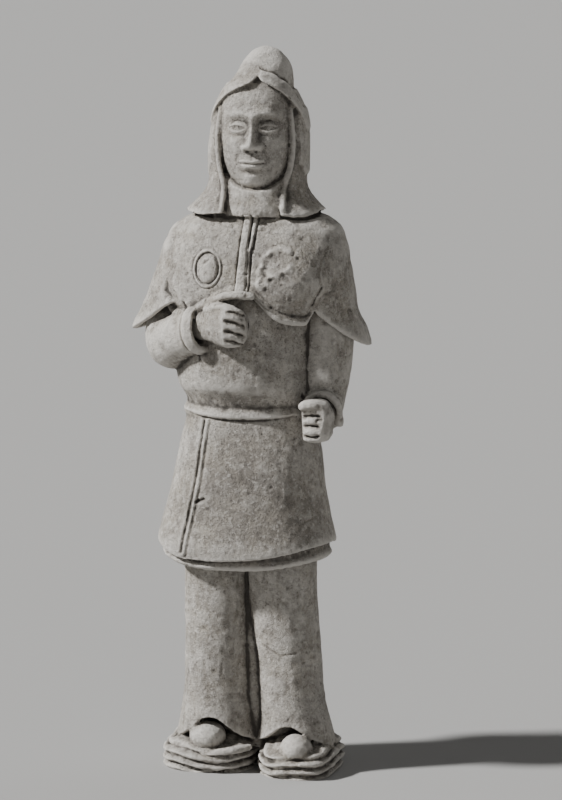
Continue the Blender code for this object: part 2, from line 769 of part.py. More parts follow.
def stand_flat(mesh):
    """Cuts the feet level at z = 0 and closes the cut."""
    shape = bmesh.new()
    shape.from_mesh(mesh)
    whole = shape.verts[:] + shape.edges[:] + shape.faces[:]
    ground, up = (0, 0, 0), (0, 0, 1)
    cut = bmesh.ops.bisect_plane(shape, geom=whole, plane_co=ground, plane_no=up, clear_inner=True)
    rim = [edge for edge in cut["geom_cut"] if isinstance(edge, bmesh.types.BMEdge)]
    bmesh.ops.holes_fill(shape, edges=rim)
    bmesh.ops.recalc_face_normals(shape, faces=shape.faces)
    shape.to_mesh(mesh)
    shape.free()


def centred(mesh):
    """Moves the mesh so that the middle of its box stands over the origin."""
    spots = np.array([vertex.co for vertex in mesh.vertices])
    middle = (spots.min(axis=0) + spots.max(axis=0)) / 2
    mesh.transform(Matrix.Translation((-middle[0], -middle[1], 0)))


def clay():
    """The fired clay: pale, dry and matt."""
    material = bpy.data.materials.new("fired_clay")
    material.use_nodes = True
    shader = material.node_tree.nodes["Principled BSDF"]
    shader.inputs["Base Color"].default_value = CLAY_COLOUR
    shader.inputs["Roughness"].default_value = 0.9
    shader.inputs["Metallic"].default_value = 0.0
    return material


def main():
    for old in list(bpy.data.objects):
        bpy.data.objects.remove(old)
    head = turned(face() + hood() + ear_flaps() + cap())
    warrior = fused(feet() + skirt() + torso() + jacket() + cape() + arms() + head)
    warrior.name = "warrior"
    carve(warrior.data)
    faceted(warrior)
    stand_flat(warrior.data)
    centred(warrior.data)
    warrior.data.materials.clear()
    warrior.data.materials.append(clay())
    warrior.data.shade_smooth()
    warrior.data.set_sharp_from_angle(angle=math.radians(50))


main()
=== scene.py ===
"""The warrior in worn fired clay, in a pale studio.

It is modelled as in the part's source, with a finer skin, relief and wear. It is drawn in units
of its own, 550 to its height, faces -Y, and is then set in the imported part's box.
"""

import json
import math

import bmesh
import bpy
import numpy as np
from mathutils import Matrix, Vector
from mathutils.kdtree import KDTree

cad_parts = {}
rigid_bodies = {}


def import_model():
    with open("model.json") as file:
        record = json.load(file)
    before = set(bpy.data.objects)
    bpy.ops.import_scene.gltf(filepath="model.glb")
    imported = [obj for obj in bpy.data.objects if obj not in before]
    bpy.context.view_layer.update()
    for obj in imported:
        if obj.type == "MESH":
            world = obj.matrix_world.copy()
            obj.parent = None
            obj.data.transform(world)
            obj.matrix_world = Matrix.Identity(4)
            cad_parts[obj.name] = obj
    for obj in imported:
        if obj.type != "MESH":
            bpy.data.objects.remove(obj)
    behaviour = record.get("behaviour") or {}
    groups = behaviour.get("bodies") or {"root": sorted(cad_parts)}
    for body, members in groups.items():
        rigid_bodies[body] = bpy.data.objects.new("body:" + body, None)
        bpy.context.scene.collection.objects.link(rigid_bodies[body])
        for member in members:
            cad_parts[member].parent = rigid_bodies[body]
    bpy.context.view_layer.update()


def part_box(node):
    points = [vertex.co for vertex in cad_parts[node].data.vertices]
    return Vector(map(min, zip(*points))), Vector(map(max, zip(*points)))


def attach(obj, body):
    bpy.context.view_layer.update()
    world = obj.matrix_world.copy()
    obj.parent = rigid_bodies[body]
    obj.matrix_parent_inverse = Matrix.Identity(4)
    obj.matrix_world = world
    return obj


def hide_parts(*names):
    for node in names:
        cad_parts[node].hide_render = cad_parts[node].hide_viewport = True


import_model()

# Sole to crown in metres, and the figure's own unit: 550 of them make its height.
HEIGHT = 0.55
UNIT = HEIGHT / 550

# Heights of the main lines, in units.
PAD_TOP = 19
TROUSER_HEM = 25
SKIRT_HEM = 169
BELT_FOOT = 274
BELT_TOP = 283
JACKET_HEM = 349
CAPE_HEM = 334
NECKLINE = 428
CHIN = 447
HAIRLINE = 523
BRIM_BACK = 495
CROWN = 550

# The head looks a little to the figure's left, about this upright axis,
# and is set a little to the figure's right.
HEAD_TURN = math.radians(4.5)
HEAD_AXIS = (4.0, 10.0)
HEAD_SHIFT = -2.0

# Clay thickness at a hem, how far a hem is cupped behind its edge,
# the depth of a sleeve's mouth, and the size of the hood's welt.
HEM_THICKNESS = 4.0
HEM_CUP = 6.0
SLEEVE_MOUTH = 9.0
WELT = 2.1

# Skin of the fused clay: the step it is rebuilt at, how often it is eased, and its triangles in the end.
CLAY_STEP = 1.0
EASINGS = 3
TRIANGLES = 195000

# The pads under the right and left foot: middle, half width, depth in front and the phase of the waves.
# Then the number and depth of the laps round each.
PADS = ((-33, 36.5, 38, 0.4), (37, 30.5, 43, 2.1))
PAD_FOLDS = 3
PAD_FOLD_DEPTH = 1.5

# How many pits the skin has, and how often a copy of it is eased to find its hollows.
PITS = 900
HOLLOW_EASINGS = 14

# Losses at edges and corners: place, size and depth.
CHIPS = (
    ((2, -44, 158), 5.0, 2.2),
    ((-86, 2, 340), 4.0, 1.0),
    ((60, -45, 176), 5.0, 1.2),
    ((-62, -20, 170), 5.0, 1.4),
    ((20, -44, 6), 6.0, 1.4),
    ((-60, -10, 18), 6.0, 1.2),
    ((39, -44, 16), 3.5, 2.2),
    ((-37, -40, 19), 2.2, 1.2),
)

# The camera: its turn and tilt, its distance, the image's height and scale, its sensor in millimetres,
# and the place that it looks at.
CAMERA_TURN = math.radians(12.5)
CAMERA_TILT = math.radians(9)
CAMERA_DISTANCE = 2.2
IMAGE_HEIGHT = 800
PIXELS_PER_METRE_AT_ONE = 2904
SENSOR_HEIGHT = 36
AIM_ASIDE = 0.0205
AIM_HEIGHT = 0.2839

# The lights: the way to each one, its spread in degrees and its strength. Then the even surround.
KEY = ((-0.97, -0.40, 0.85), 5, 6.0)
FILL = ((0.30, -0.95, 0.45), 35, 0.2)
BACK = ((0.55, 0.80, 0.60), 60, 0.5)
SURROUND_COLOUR = (0.8, 0.8, 0.8, 1)
SURROUND_STRENGTH = 0.08

# Colours of the clay: its body, a warmer cast, dark stains, a near black for specks and for painted
# shade in the pits and hollows, and a pale one for chalky places, for worn ridges that also carry a
# painted highlight, and for painted light on the figure's right side.
CLAY_BODY = (0.38, 0.355, 0.32, 1)
CLAY_WARM = (0.40, 0.365, 0.31, 1)
CLAY_DARK = (0.15, 0.135, 0.12, 1)
CLAY_SPECK_AND_SHADE = (0.06, 0.053, 0.046, 1)
CLAY_PALE = (0.70, 0.67, 0.62, 1)

FLOOR_RADIUS = 45
FLOOR_COLOUR = (0.40, 0.395, 0.385, 1)


def eased(share):
    """0 below 0 and 1 above 1, with a soft start and end between."""
    share = np.clip(share, 0.0, 1.0)
    return share * share * (3 - 2 * share)


def bell(distance, width):
    """1 at no distance, falling softly to nothing at about twice the width."""
    return np.exp(-((distance / width) ** 2))


def through(keys, values, at):
    """Values on a smooth curve through the given ones, which belong to rising keys."""
    keys, values = np.asarray(keys, float), np.asarray(values, float)
    slopes = np.gradient(values, keys, axis=0)
    at = np.clip(at, keys[0], keys[-1])
    left = np.clip(np.searchsorted(keys, at) - 1, 0, len(keys) - 2)
    span = keys[left + 1] - keys[left]
    t = (at - keys[left]) / span
    if values.ndim > 1:
        t, span = t[..., None], span[..., None]
    start = (1 + 2 * t) * (1 - t) ** 2 * values[left] + t * (1 - t) ** 2 * span * slopes[left]
    end = t * t * (3 - 2 * t) * values[left + 1] + t * t * (t - 1) * span * slopes[left + 1]
    return start + end


def skin(rings):
    """A closed mesh over rings of equally many points, with a fan over each end."""
    rings = [np.asarray(ring, float) * UNIT for ring in rings]
    count = len(rings[0])
    shape = bmesh.new()
    corners = [[shape.verts.new(point) for point in ring] for ring in rings]
    for lower, upper in zip(corners, corners[1:]):
        for i in range(count):
            j = (i + 1) % count
            shape.faces.new((lower[i], lower[j], upper[j], upper[i]))
    for ring, points in ((corners[0], rings[0]), (corners[-1], rings[-1])):
        hub = shape.verts.new(points.mean(axis=0))
        for i in range(count):
            shape.faces.new((hub, ring[i], ring[(i + 1) % count]))
    bmesh.ops.recalc_face_normals(shape, faces=shape.faces)
    mesh = bpy.data.meshes.new("form")
    shape.to_mesh(mesh)
    shape.free()
    form = bpy.data.objects.new("form", mesh)
    bpy.context.scene.collection.objects.link(form)
    return form


def outline(turn, wide, front, back, square):
    """A section's offset from its centre. turn is 0 at the front and a quarter turn at +X."""
    side, ahead = np.sin(turn), np.cos(turn)
    depth = np.where(ahead > 0, front, back)
    power = 2 / square
    x = wide * np.sign(side) * np.abs(side) ** power
    y = -depth * np.sign(ahead) * np.abs(ahead) ** power
    return x, y


def drape(rows, foot, square=2.2, relief=None, cup=0.0, levels=48, sides=112):
    """A form that hangs from its highest row to a foot, whose height may change round the figure.

    Rows are (z, centre x, centre y, half width, front depth, back depth). relief(turn, z) pushes it out.
    cup is how far the form is hollowed behind its hem, which may change round the figure too.
    """
    rows = np.array(sorted(rows), float)
    turn = np.linspace(-math.pi, math.pi, sides, endpoint=False)
    top = rows[-1, 0]
    low = foot(turn) if callable(foot) else np.full(sides, float(foot))
    rings = []
    for share in np.linspace(0, 1, levels):
        z = top + (low - top) * share
        x, y, wide, front, back = through(rows[:, 0], rows[:, 1:], z).T
        push = relief(turn, z) if relief else 0
        dx, dy = outline(turn, wide + push, front + push, back + push, square)
        rings.append(np.stack([x + dx, y + dy, z], axis=1))
    if cup:
        edge = rings[-1]
        inward = edge.mean(axis=0) - edge
        inward[:, 2] = 0
        inward *= HEM_THICKNESS / np.linalg.norm(inward, axis=1)[:, None]
        rings.append(edge + inward)
        # The hollow's roof starts a little further in than the lip.
        roof = edge + 1.6 * inward
        roof[:, 2] += cup(turn) if callable(cup) else cup
        rings.append(roof)
    return skin(rings)


def limb(path, widths, heights, up=(0, 0, 1), mouth=False, steps=28, sides=36):
    """A tube along a smooth path. Its half widths are across up, and its half heights along up."""
    keys = np.linspace(0, 1, len(path))
    at = np.linspace(0, 1, steps)
    line = through(keys, path, at)
    wide, high = through(keys, widths, at), through(keys, heights, at)
    along = np.gradient(line, axis=0)
    along /= np.linalg.norm(along, axis=1)[:, None]
    across = np.cross(along, np.asarray(up, float))
    across /= np.linalg.norm(across, axis=1)[:, None]
    rise = np.cross(across, along)
    turn = np.linspace(0, 2 * math.pi, sides, endpoint=False)

    def ring(i, size=1.0, back=0.0):
        spread = np.outer(np.cos(turn), across[i]) * wide[i] + np.outer(np.sin(turn), rise[i]) * high[i]
        return line[i] + size * spread - back * along[i]

    start = [ring(0, 0.55, 0.35 * min(wide[0], high[0]))]
    if mouth:
        end = [ring(-1, 0.8), ring(-1, 0.7, SLEEVE_MOUTH)]
    else:
        end = [ring(-1, 0.6, -0.35 * min(wide[-1], high[-1]))]
    return skin(start + [ring(i) for i in range(steps)] + end)


def ball(centre, radii, sides=32, levels=17):
    """An egg-shaped lump."""
    turn = np.linspace(0, 2 * math.pi, sides, endpoint=False)
    rings = []
    for tilt in np.linspace(-0.47, 0.47, levels) * math.pi:
        across = np.stack([np.cos(turn), np.sin(turn), np.zeros(sides)], axis=1) * math.cos(tilt)
        rings.append(np.asarray(centre) + (across + [0, 0, math.sin(tilt)]) * radii)
    return skin(rings)


def pad_wave(turn, phase):
    """How far a pad's laps rise and fall on their way round it."""
    return 1.8 * np.sin(2 * turn + phase) + 1.0 * np.sin(5 * turn + 2 * phase)


def pad(x, wide, front, phase):
    """The rough clay under a foot, lapped over itself in wavy folds round its edge."""

    def relief(turn, z):
        wave = pad_wave(turn, phase)
        return PAD_FOLD_DEPTH * np.cos(2 * math.pi * PAD_FOLDS * (z + wave) / PAD_TOP)

    rows = [
        (PAD_TOP + 7, x, 8, wide - 16, front - 24, 20),
        (PAD_TOP + 1, x, 5, wide - 5, front - 5, 28),
        (PAD_TOP - 4, x, 5, wide - 1, front + 2, 30),
        (PAD_TOP / 2, x, 5, wide, front + 3, 31),
        (-4, x, 5, wide - 2, front + 1, 30),
    ]
    return drape(rows, -4, square=2.9, relief=relief)


def trouser(x_top, x_foot, wide_top, wide_foot, front, arch, lean, pinch):
    """One wide trouser leg. Its hem arches over the toes and drags on the pad behind.

    lean below 1 makes the leg move out early on its way down, and pinch narrows it at the knee.
    """

    def foot(turn):
        return TROUSER_HEM - 9 * (1 - np.cos(turn)) / 2 + arch * bell(turn, 0.62)

    def relief(turn, z):
        flare = np.clip(1 - z / 60, 0, 1) ** 2
        return 1.6 * flare * np.cos(4 * turn)

    def leg(z, share, grow):
        x = x_top + (x_foot - x_top) * share ** lean
        return (z, x, 3 - 2 * share, wide_top + grow, 27 + grow, 26 + grow)

    spread = wide_foot - wide_top
    rows = [
        leg(190, 0, 1.5),
        leg(140, 0.0, 0.0),
        leg(85, 0.3, 0.2 * spread - pinch),
        leg(57, 0.55, 0.35 * spread - 1.3 * pinch),
        leg(40, 0.8, 0.7 * spread - 1.2 * pinch),
        (TROUSER_HEM - 12, x_foot, 1, wide_foot + 2, front, 31),
    ]

    def over_toes(turn):
        return 9 * bell(turn, 0.7)

    return drape(rows, foot, square=2.1, relief=relief, cup=over_toes)


def feet():
    """Both trouser legs, the clay between them, the round toes and the pads. The left foot leads."""
    middle = [(-1, 2, 172), (0, 2, 110), (3, 1, 55), (4, 1, 16)]
    between = limb(middle, [9] * 4, [11] * 4, up=(0, -1, 0))
    turned_lap = limb(
        [(-34, -33.5, 12), (-21, -34, 15.5), (-9, -31.5, 18), (2, -22, 19)],
        [3.2, 3.6, 3.6, 3],
        [3, 3.4, 3.4, 3],
        sides=16,
    )
    return [
        between,
        turned_lap,
        *(pad(*sizes) for sizes in PADS),
        trouser(-28.3, -28, 25.6, 32.5, 31, 17, 1, 0.8),
        trouser(21.7, 33, 26.1, 29.5, 36, 12.5, 0.6, 1.9),
        ball((-32, -21, 26), (14, 13.5, 11)),
        ball((38.5, -27, 20.8), (12.6, 13.5, 10.6)),
    ]


def skirt_rows(inset):
    """Rows of the tunic's skirt, drawn in by inset all round."""
    rows = [
        (BELT_TOP, -0.5, 1, 50, 36, 34),
        (BELT_FOOT, -1, 1, 50.5, 36.5, 34),
        (240, -3, 0, 55.5, 39, 37),
        (211, -4.5, 0, 60.5, 41.5, 39),
        (SKIRT_HEM + 18, -5.5, 0, 66.5, 44, 42),
        (SKIRT_HEM + 10, -5.5, 0, 68.5, 45, 43),
        (SKIRT_HEM - 14, -5.5, 0, 65, 42.5, 41),
    ]
    return [(z, x, y, *(reach - inset for reach in reaches)) for z, x, y, *reaches in rows]


def skirt():
    """The belted skirt: an outer layer whose hem lifts at the sides, and an under layer below it."""

    def level(turn):
        return SKIRT_HEM - 1 + 10 * np.abs(np.sin(turn)) ** 2.5

    def outer_foot(turn):
        return level(turn) + 3.6 * np.sin(2 * turn)

    def under_foot(turn):
        return level(turn) + 1.2 * np.sin(2 * turn) - 9 - 3 * np.sin(turn) ** 4

    def overlap(turn, z):
        # The wrapped edge runs down the figure's right front, from the belt to the hem.
        edge = -0.72 - 0.0012 * (BELT_FOOT - z)
        return 0.5 * eased((turn - edge) / 0.05) * eased((1.6 - turn) / 0.8)

    def rolled(turn, z):
        return 3.2 * bell(z - under_foot(turn) - 2.8, 2.6)

    return [
        drape(skirt_rows(0), outer_foot, square=2.35, relief=overlap, cup=HEM_CUP),
        drape(skirt_rows(5.5), under_foot, square=2.35, relief=rolled, cup=HEM_CUP, levels=80),
    ]


def torso():
    """Belly and chest under the jacket, with the belt drawn tight below."""
    rows = [
        (NECKLINE + 4, 2, 4, 30, 26, 30),
        (405, 2.5, 2, 58, 36, 36),
        (370, -2.5, 0, 56, 41, 38),
        (340, -5, 0, 53, 43, 38),
        (312, -4.5, 0, 54, 45.5, 38),
        (298, -3.5, 0, 53, 44.5, 37),
        (BELT_TOP + 4, -1, 0.5, 50, 38.5, 34.5),
        (BELT_TOP - 6, -1, 1, 49, 35.5, 34),
    ]
    belt = [
        (BELT_TOP + 0.5, -0.5, 1, 50.5, 37, 35),
        (BELT_TOP - 2, -0.5, 1, 52, 38.6, 36),
        (BELT_FOOT + 2, -1, 1, 52.5, 39, 36.4),
        (BELT_FOOT, -1, 1, 51, 37.5, 35),
    ]
    return [drape(rows, BELT_TOP - 6), drape(belt, BELT_FOOT, levels=10)]


def jacket():
    """The close front of the jacket. Its hem rises over the middle and dips under each breast."""

    def foot(turn):
        middle = np.where(turn < 0, 22 * bell(turn - 0.02, 0.46), 22 * bell(turn + 0.045, 0.34))
        ends = 16 * eased((turn - 0.8) / 0.14) + 6 * eased((-turn - 1.0) / 0.4)
        return JACKET_HEM + middle - 3 * eased(turn / 0.3) + ends

    def relief(turn, z):
        # The left breast swells the most, and a rolled band follows the hem.
        breasts = 7.0 * bell(turn - 0.48, 0.34) * bell(z - 382, 20)
        breasts += 3.0 * bell(turn + 0.55, 0.4) * bell(z - 380, 24)
        valley = 1.5 * bell(turn - 0.07, 0.12) * bell(z - 392, 34)
        band = 2.4 * bell(z - foot(turn) - 3.0, 2.9) * eased((0.9 - turn) / 0.12)
        groove = 1.0 * bell(z - foot(turn) - 7.4, 1.4)
        return breasts - valley + band - groove

    rows = [
        (NECKLINE + 2, 3, 4.5, 30, 23, 31),
        (NECKLINE - 3, 3, 4.5, 49, 28, 36),
        (419, 2.5, 3.5, 60, 32.5, 38),
        (407, 2.5, 2.5, 67.5, 38, 39),
        (388, 2, 1.5, 71.5, 41.5, 40),
        (371, 1.5, 0, 70, 44, 40),
        (JACKET_HEM + 4, 1, 0, 63.5, 46, 40),
        (JACKET_HEM - 6, 1, 0, 63, 46, 40),
    ]
    roll = limb(
        [
            (-27, -43, 358),
            (-20, -46.5, 363.5),
            (-12, -49, 368),
            (-3, -50, 369.5),
            (5, -50, 369.5),
            (11, -49, 368.5),
        ],
        [2.6, 3.0, 3.4, 3.4, 3.2, 2.6],
        [2.2, 2.6, 3.0, 3.0, 3.0, 2.6],
        steps=36,
        sides=16,
    )
    return [drape(rows, foot, relief=relief, cup=HEM_CUP, levels=80), roll]


def cape():
    """The shoulder cape: open at the front, flaring to a pointed corner over each arm."""

    def foot(turn):
        away = np.abs(turn)
        right_arm = through([0.6, 0.8, 1.0, 1.3, 1.6, 2.2], [30, 23, 14, 5, 2, 5], away)
        left_arm = through([0.6, 0.7, 0.86, 1.0, 1.3, 1.6, 2.2], [34, 27, 16, 8, -3, -5.5, 5], away)
        return CAPE_HEM + np.where(turn < 0, right_arm, left_arm)

    def opening(turn, z):
        # Inside its front edges the cape sinks behind the jacket. They run out to the shoulders.
        right_arm = 0.62 + 0.23 * eased((z - 358) / 12) + 0.3 * eased((z - 396) / 20)
        left_arm = 0.70 + 0.17 * eased((z - 361) / 10) + 0.3 * eased((z - 393) / 20)
        over = eased((np.abs(turn) - np.where(turn < 0, right_arm, left_arm)) / 0.06)
        folds = 0.6 * np.cos(9 * turn + 0.5) * eased((392 - z) / 50)
        return -9 * (1 - over) + folds * over

    rows = [
        (NECKLINE + 2, 3, 5, 30, 23, 32),
        (NECKLINE - 3, 3, 5, 50, 28, 38),
        (419, 2.5, 4, 61, 33, 40),
        (407, 1.2, 3, 68.8, 38, 41),
        (388, 0.0, 3, 74, 41.5, 42),
        (371, -1.3, 3, 78.3, 43.5, 43),
        (353, -3.3, 3, 83.8, 45, 44),
        (340, -3.4, 3, 89.9, 46, 46),
        (CAPE_HEM - 8, -2.5, 3, 94, 46.5, 47),
    ]
    return [drape(rows, foot, square=2.15, relief=opening, cup=1.6 * HEM_CUP, sides=160)]


def right_fist():
    """The fist at the chest. Its back slants in from the cuff, and its fingers fold to the palm."""
    hand = limb(
        [
            (-38, -34, 343),
            (-25, -45, 346),
            (-13, -55, 347.5),
            (-5, -60, 347),
            (2, -58.5, 346),
            (4.5, -52, 345),
        ],
        [6, 6.8, 7.2, 6.5, 5.2, 4],
        [9, 11.2, 14.6, 15.4, 14.2, 11.5],
        steps=44,
    )
    thumb = limb(
        [(-24, -46, 356.5), (-15, -53.5, 360), (-5, -57.5, 359.5), (2.5, -57, 356.5)],
        [5, 5.5, 5, 3.5],
        [5, 4.4, 3.8, 3],
        steps=20,
        sides=16,
    )
    return [hand, thumb, ball((-6, -52, 346), (10, 10, 13))]


def left_fist():
    """The fist at the hip: a rounded block, with the thumb lying over its top."""
    rows = [
        (292.5, 56, -37, 3, 3, 3),
        (291, 56, -38, 7.5, 7, 5),
        (287, 56, -38, 10.2, 10.5, 7),
        (283, 57, -37.5, 11.3, 12, 9),
        (273, 57.5, -37.5, 11.3, 12, 9),
        (265, 57, -37.5, 10.3, 11, 8.5),
        (261.5, 56, -37.5, 8.5, 8.5, 7),
        (260, 55.5, -37.5, 4, 5, 3),
    ]
    thumb = limb(
        [(63, -41, 286.5), (57, -45, 288.5), (50.5, -46.5, 288.8), (46.5, -45, 286.8)],
        [5, 5, 4.8, 3.6],
        [4.8, 4.8, 4.4, 3.4],
        steps=20,
        sides=16,
    )
    middle = [(57, -36, 275), (57.5, -27, 277), (57.5, -12, 282)]
    wrist = limb(middle, [8.5] * 3, [8.5] * 3, up=(1, 0, 0))
    return [drape(rows, 260, square=2.7, levels=30, sides=64), thumb, wrist]


def arms():
    """The right arm across the chest and the left one hanging, in wide sleeves, with their fists."""
    right = limb(
        [
            (-54, 2, 366),
            (-63, 2, 343),
            (-60, -12, 329),
            (-49, -27, 334.5),
            (-39.5, -34.5, 339.5),
            (-34.3, -37.8, 341.7),
            (-29.5, -40.5, 343.2),
        ],
        [14, 19, 20, 17.5, 14.3, 15, 13.8],
        [14, 19, 20.5, 18.3, 17, 18.6, 17.8],
        up=(0.2, 0.2, 1),
        mouth=True,
        steps=48,
    )
    left = limb(
        [(54, 4, 366), (57.3, 1, 335), (56.3, -3, 305), (57, -10, 288), (57, -22, 280)],
        [18, 19, 18, 15, 15],
        [20, 23, 22, 17.5, 18.5],
        up=(0, -1, 0.2),
        mouth=True,
    )
    left_tail = limb(
        [(64, -12, 286), (68, -15, 276), (70, -16, 269)],
        [6, 4, 2],
        [6, 4, 2],
        up=(0, -1, 0),
        steps=12,
    )
    return [right, left, left_tail, *right_fist(), *left_fist()]


def turned(forms):
    """The head's forms, drawn facing -Y, swung about its upright axis and set in place on the neck."""
    x, y = (value * UNIT for value in HEAD_AXIS)
    placed = Matrix.Translation((x + HEAD_SHIFT * UNIT, y, 0))
    swing = placed @ Matrix.Rotation(HEAD_TURN, 4, "Z") @ Matrix.Translation((-x, -y, 0))
    for form in forms:
        form.data.transform(swing)
    return forms


def face():
    """The plain egg of the face, to be carved, and the wrapped collar under it."""
    rows = [
        (HAIRLINE, 4, 8, 24, 22, 26),
        (514, 4, 8, 27, 28, 28),
        (504, 4, 7, 28.2, 30.5, 28),
        (492, 4, 6, 28.4, 31, 28),
        (476, 4, 6, 27.8, 31.5, 28),
        (463, 4, 5, 25.2, 30.5, 26),
        (453, 4, 3, 20, 27, 20),
        (CHIN, 4, 1, 12, 21.5, 12),
        (CHIN - 3, 4, 1, 5, 12, 6),
    ]
    collar = [
        (456, 5, 3, 26.5, 25, 22),
        (CHIN, 5, 2.5, 28, 27.5, 22),
        (437, 5, 2, 29, 30, 22),
        (NECKLINE + 2, 5, 2, 29.5, 32, 22),
        (NECKLINE - 2, 5, 2, 29.5, 32, 22),
    ]

    def wrapped(turn, z):
        # The collar's top dips under the chin and rises into the hood.
        top = CHIN - 2.5 + 7 * (turn / 0.8) ** 2
        return -9 * eased((z - top) / 1.5)

    egg = drape(rows, CHIN - 3, levels=60)
    return [egg, drape(collar, NECKLINE - 2, relief=wrapped, cup=3, levels=34)]


def opening_edge():
    """Heights down the hood's opening, and its half width at each."""
    places = [
        (NECKLINE - 14, 22.5),
        (435, 21.5),
        (448, 21.5),
        (460, 25),
        (482, 27),
        (505, 25),
        (533, 22),
    ]
    z, half = np.array(places).T
    levels = np.linspace(z[-1], z[0], 30)
    return levels, through(z, half, levels)


def hood_foot(turn):
    """Lower edge of the hood on the shoulders and back."""
    dips = 3 * bell(turn - 0.75, 0.35) + 1.8 * bell(turn + 0.8, 0.4)
    return NECKLINE + 0.5 - dips - 10 * eased((np.abs(turn) - 1.6) / 1.2)


def hood():
    """The hood's cloth, spreading on the shoulders, open over the face and welted round the opening."""
    rows = [
        (522, 5.8, 12, 21, 22, 24),
        (512, 5.2, 12, 28, 27.5, 30),
        (502, 4.8, 11.5, 32.5, 30.5, 33.5),
        (490, 4.3, 11, 35, 31.5, 35.5),
        (472, 3.3, 11, 36.3, 31.5, 36),
        (455, 3.2, 10.5, 36.8, 32, 36),
        (446, 3, 10, 38, 32.5, 37),
        (439, 2.5, 8.5, 42, 34, 39),
        (432, 2, 7, 49, 36.5, 42),
        (426, 2, 6, 55.5, 38.5, 44.5),
        (420, 2, 5, 59.5, 40, 46),
    ]
    levels, halves = opening_edge()

    cloth = drape(rows, hood_foot, square=2.15)
    rings = []
    for depth in (-70, -4):
        left = np.stack([HEAD_AXIS[0] - halves, np.full(len(levels), depth), levels], axis=1)
        right = np.stack([HEAD_AXIS[0] + halves, np.full(len(levels), depth), levels], axis=1)
        rings.append(np.concatenate([left, right[::-1]]))
    cutter = skin(rings)
    cut = cloth.modifiers.new("Opening", "BOOLEAN")
    cut.operation = "DIFFERENCE"
    cut.object = cutter
    applied(cloth)
    bpy.data.objects.remove(cutter)

    welts = []
    z, x, y, wide, front, _ = np.array(sorted(rows), float).T
    down = (levels < 514) & (levels > NECKLINE)
    for side in (-1, 1):
        out = HEAD_AXIS[0] + side * (halves[down] + 1.2)
        middle, reach, ahead = (np.interp(levels[down], z, row) for row in (x, wide, front))
        rounded = (1 - np.abs((out - middle) / reach) ** 2.15) ** (1 / 2.15)
        depth = np.interp(levels[down], z, y) - ahead * rounded
        path = np.stack([out, depth - 0.4, levels[down]], axis=1)
        size = [WELT] * len(path)
        welts.append(limb(path, size, size, up=(0, -1, 0), steps=40, sides=16))
    return [cloth, *welts]


def ear_flaps():
    """The second layer of cloth behind each front flap, from the brim down to the jaw."""
    rows = [
        (518, 5.5, 12, 27, 27, 30),
        (505, 5, 12, 33.5, 30, 36),
        (490, 4.4, 12, 36.7, 31, 38),
        (470, 3.6, 12, 38.2, 31, 39),
        (450, 3.4, 12, 38.4, 31, 39),
    ]

    def foot(turn):
        return 455 + 5 * eased((np.abs(turn) - 1.4) / 1.0) + 9 * eased((1.35 - np.abs(turn)) / 0.3)

    def sides_only(turn, z):
        beside = eased((np.abs(turn) - 0.95) / 0.12) * eased((2.35 - np.abs(turn)) / 0.25)
        return -7 * (1 - beside)

    return [drape(rows, foot, relief=sides_only)]


def brow_lift(turn):
    """How much higher the brim's lower edge runs over the brow."""
    return 3 * bell(turn - 0.15, 0.45)


def brim_foot(turn):
    """Lower edge of the cap's brim: two lobes part at a peak over the brow, and droop to the temples."""
    away = np.minimum(np.abs(turn), 1.4)
    droop = np.where(turn > 0, 13.0, 11.0) * away ** 2.65
    lobe = HAIRLINE + 4 + brow_lift(turn) - 6.2 * (1 - np.exp(-away / 0.1)) - droop
    behind = eased((np.abs(turn) - 1.7) / 1.2)
    return lobe + (BRIM_BACK - lobe) * behind


def brim_edge(turn):
    """Upper edge of the brim's turned-up lobe."""
    height = 11.5 - brow_lift(turn) + 4.5 * eased((np.abs(turn) - 0.7) / 0.4)
    return brim_foot(turn) + height - 2 * bell(turn, 0.12)


def cap():
    """The domed cap, and its brim, whose left lobe is turned up."""
    dome = [
        (CROWN, 9, 14, 1.5, 1.5, 1.5),
        (CROWN - 1.5, 9, 14, 6.5, 7, 7.5),
        (CROWN - 6, 9, 14, 12.8, 13.5, 14),
        (CROWN - 11, 9, 14, 17, 18.5, 18.5),
        (533, 8.6, 14, 20, 23, 23.5),
        (526, 7.8, 13.5, 21.8, 25.5, 25.5),
        (516, 6.5, 13, 23.5, 28.5, 28),
        (505, 5, 12.5, 27, 30, 31),
    ]
    brim = [
        (540, 8.4, 13.8, 15.5, 16.5, 16.5),
        (533, 7.6, 13.6, 20.4, 23.5, 23.8),
        (527, 6.4, 13.4, 22.4, 29, 27),
        (522, 5.4, 13.0, 26.0, 33.5, 29.8),
        (513, 4.6, 12.5, 31.0, 37.5, 33.5),
        (504, 4.3, 12.0, 34.8, 39, 37),
        (494, 4.2, 12.0, 36.6, 39.5, 39.8),
        (484, 4.2, 12.0, 38.0, 40, 41.5),
    ]

    def turned_up(turn, z):
        # The left lobe is a band that stands off the dome under a crisp edge.
        # The right one flows out of the dome.
        crisp = eased((turn + 0.01) / 0.05)
        edge = brim_edge(turn)
        proud = 2.6 - 1.9 * eased((turn - 0.8) / 0.5)
        band = proud * eased((edge - z) / 1.2) - 12 * eased((z - edge) / 1.6)
        flow = -12 * eased((z - edge - 8) / 6)
        return crisp * band + (1 - crisp) * flow

    lobes = drape(brim, brim_foot, relief=turned_up, cup=2.5, levels=72, sides=200)
    return [drape(dome, 505, levels=40), lobes]


def applied(form):
    """Gives the form the mesh that its modifiers make, and drops the modifiers."""
    graph = bpy.context.evaluated_depsgraph_get()
    made = bpy.data.meshes.new_from_object(form.evaluated_get(graph))
    form.modifiers.clear()
    form.data = made
    return form


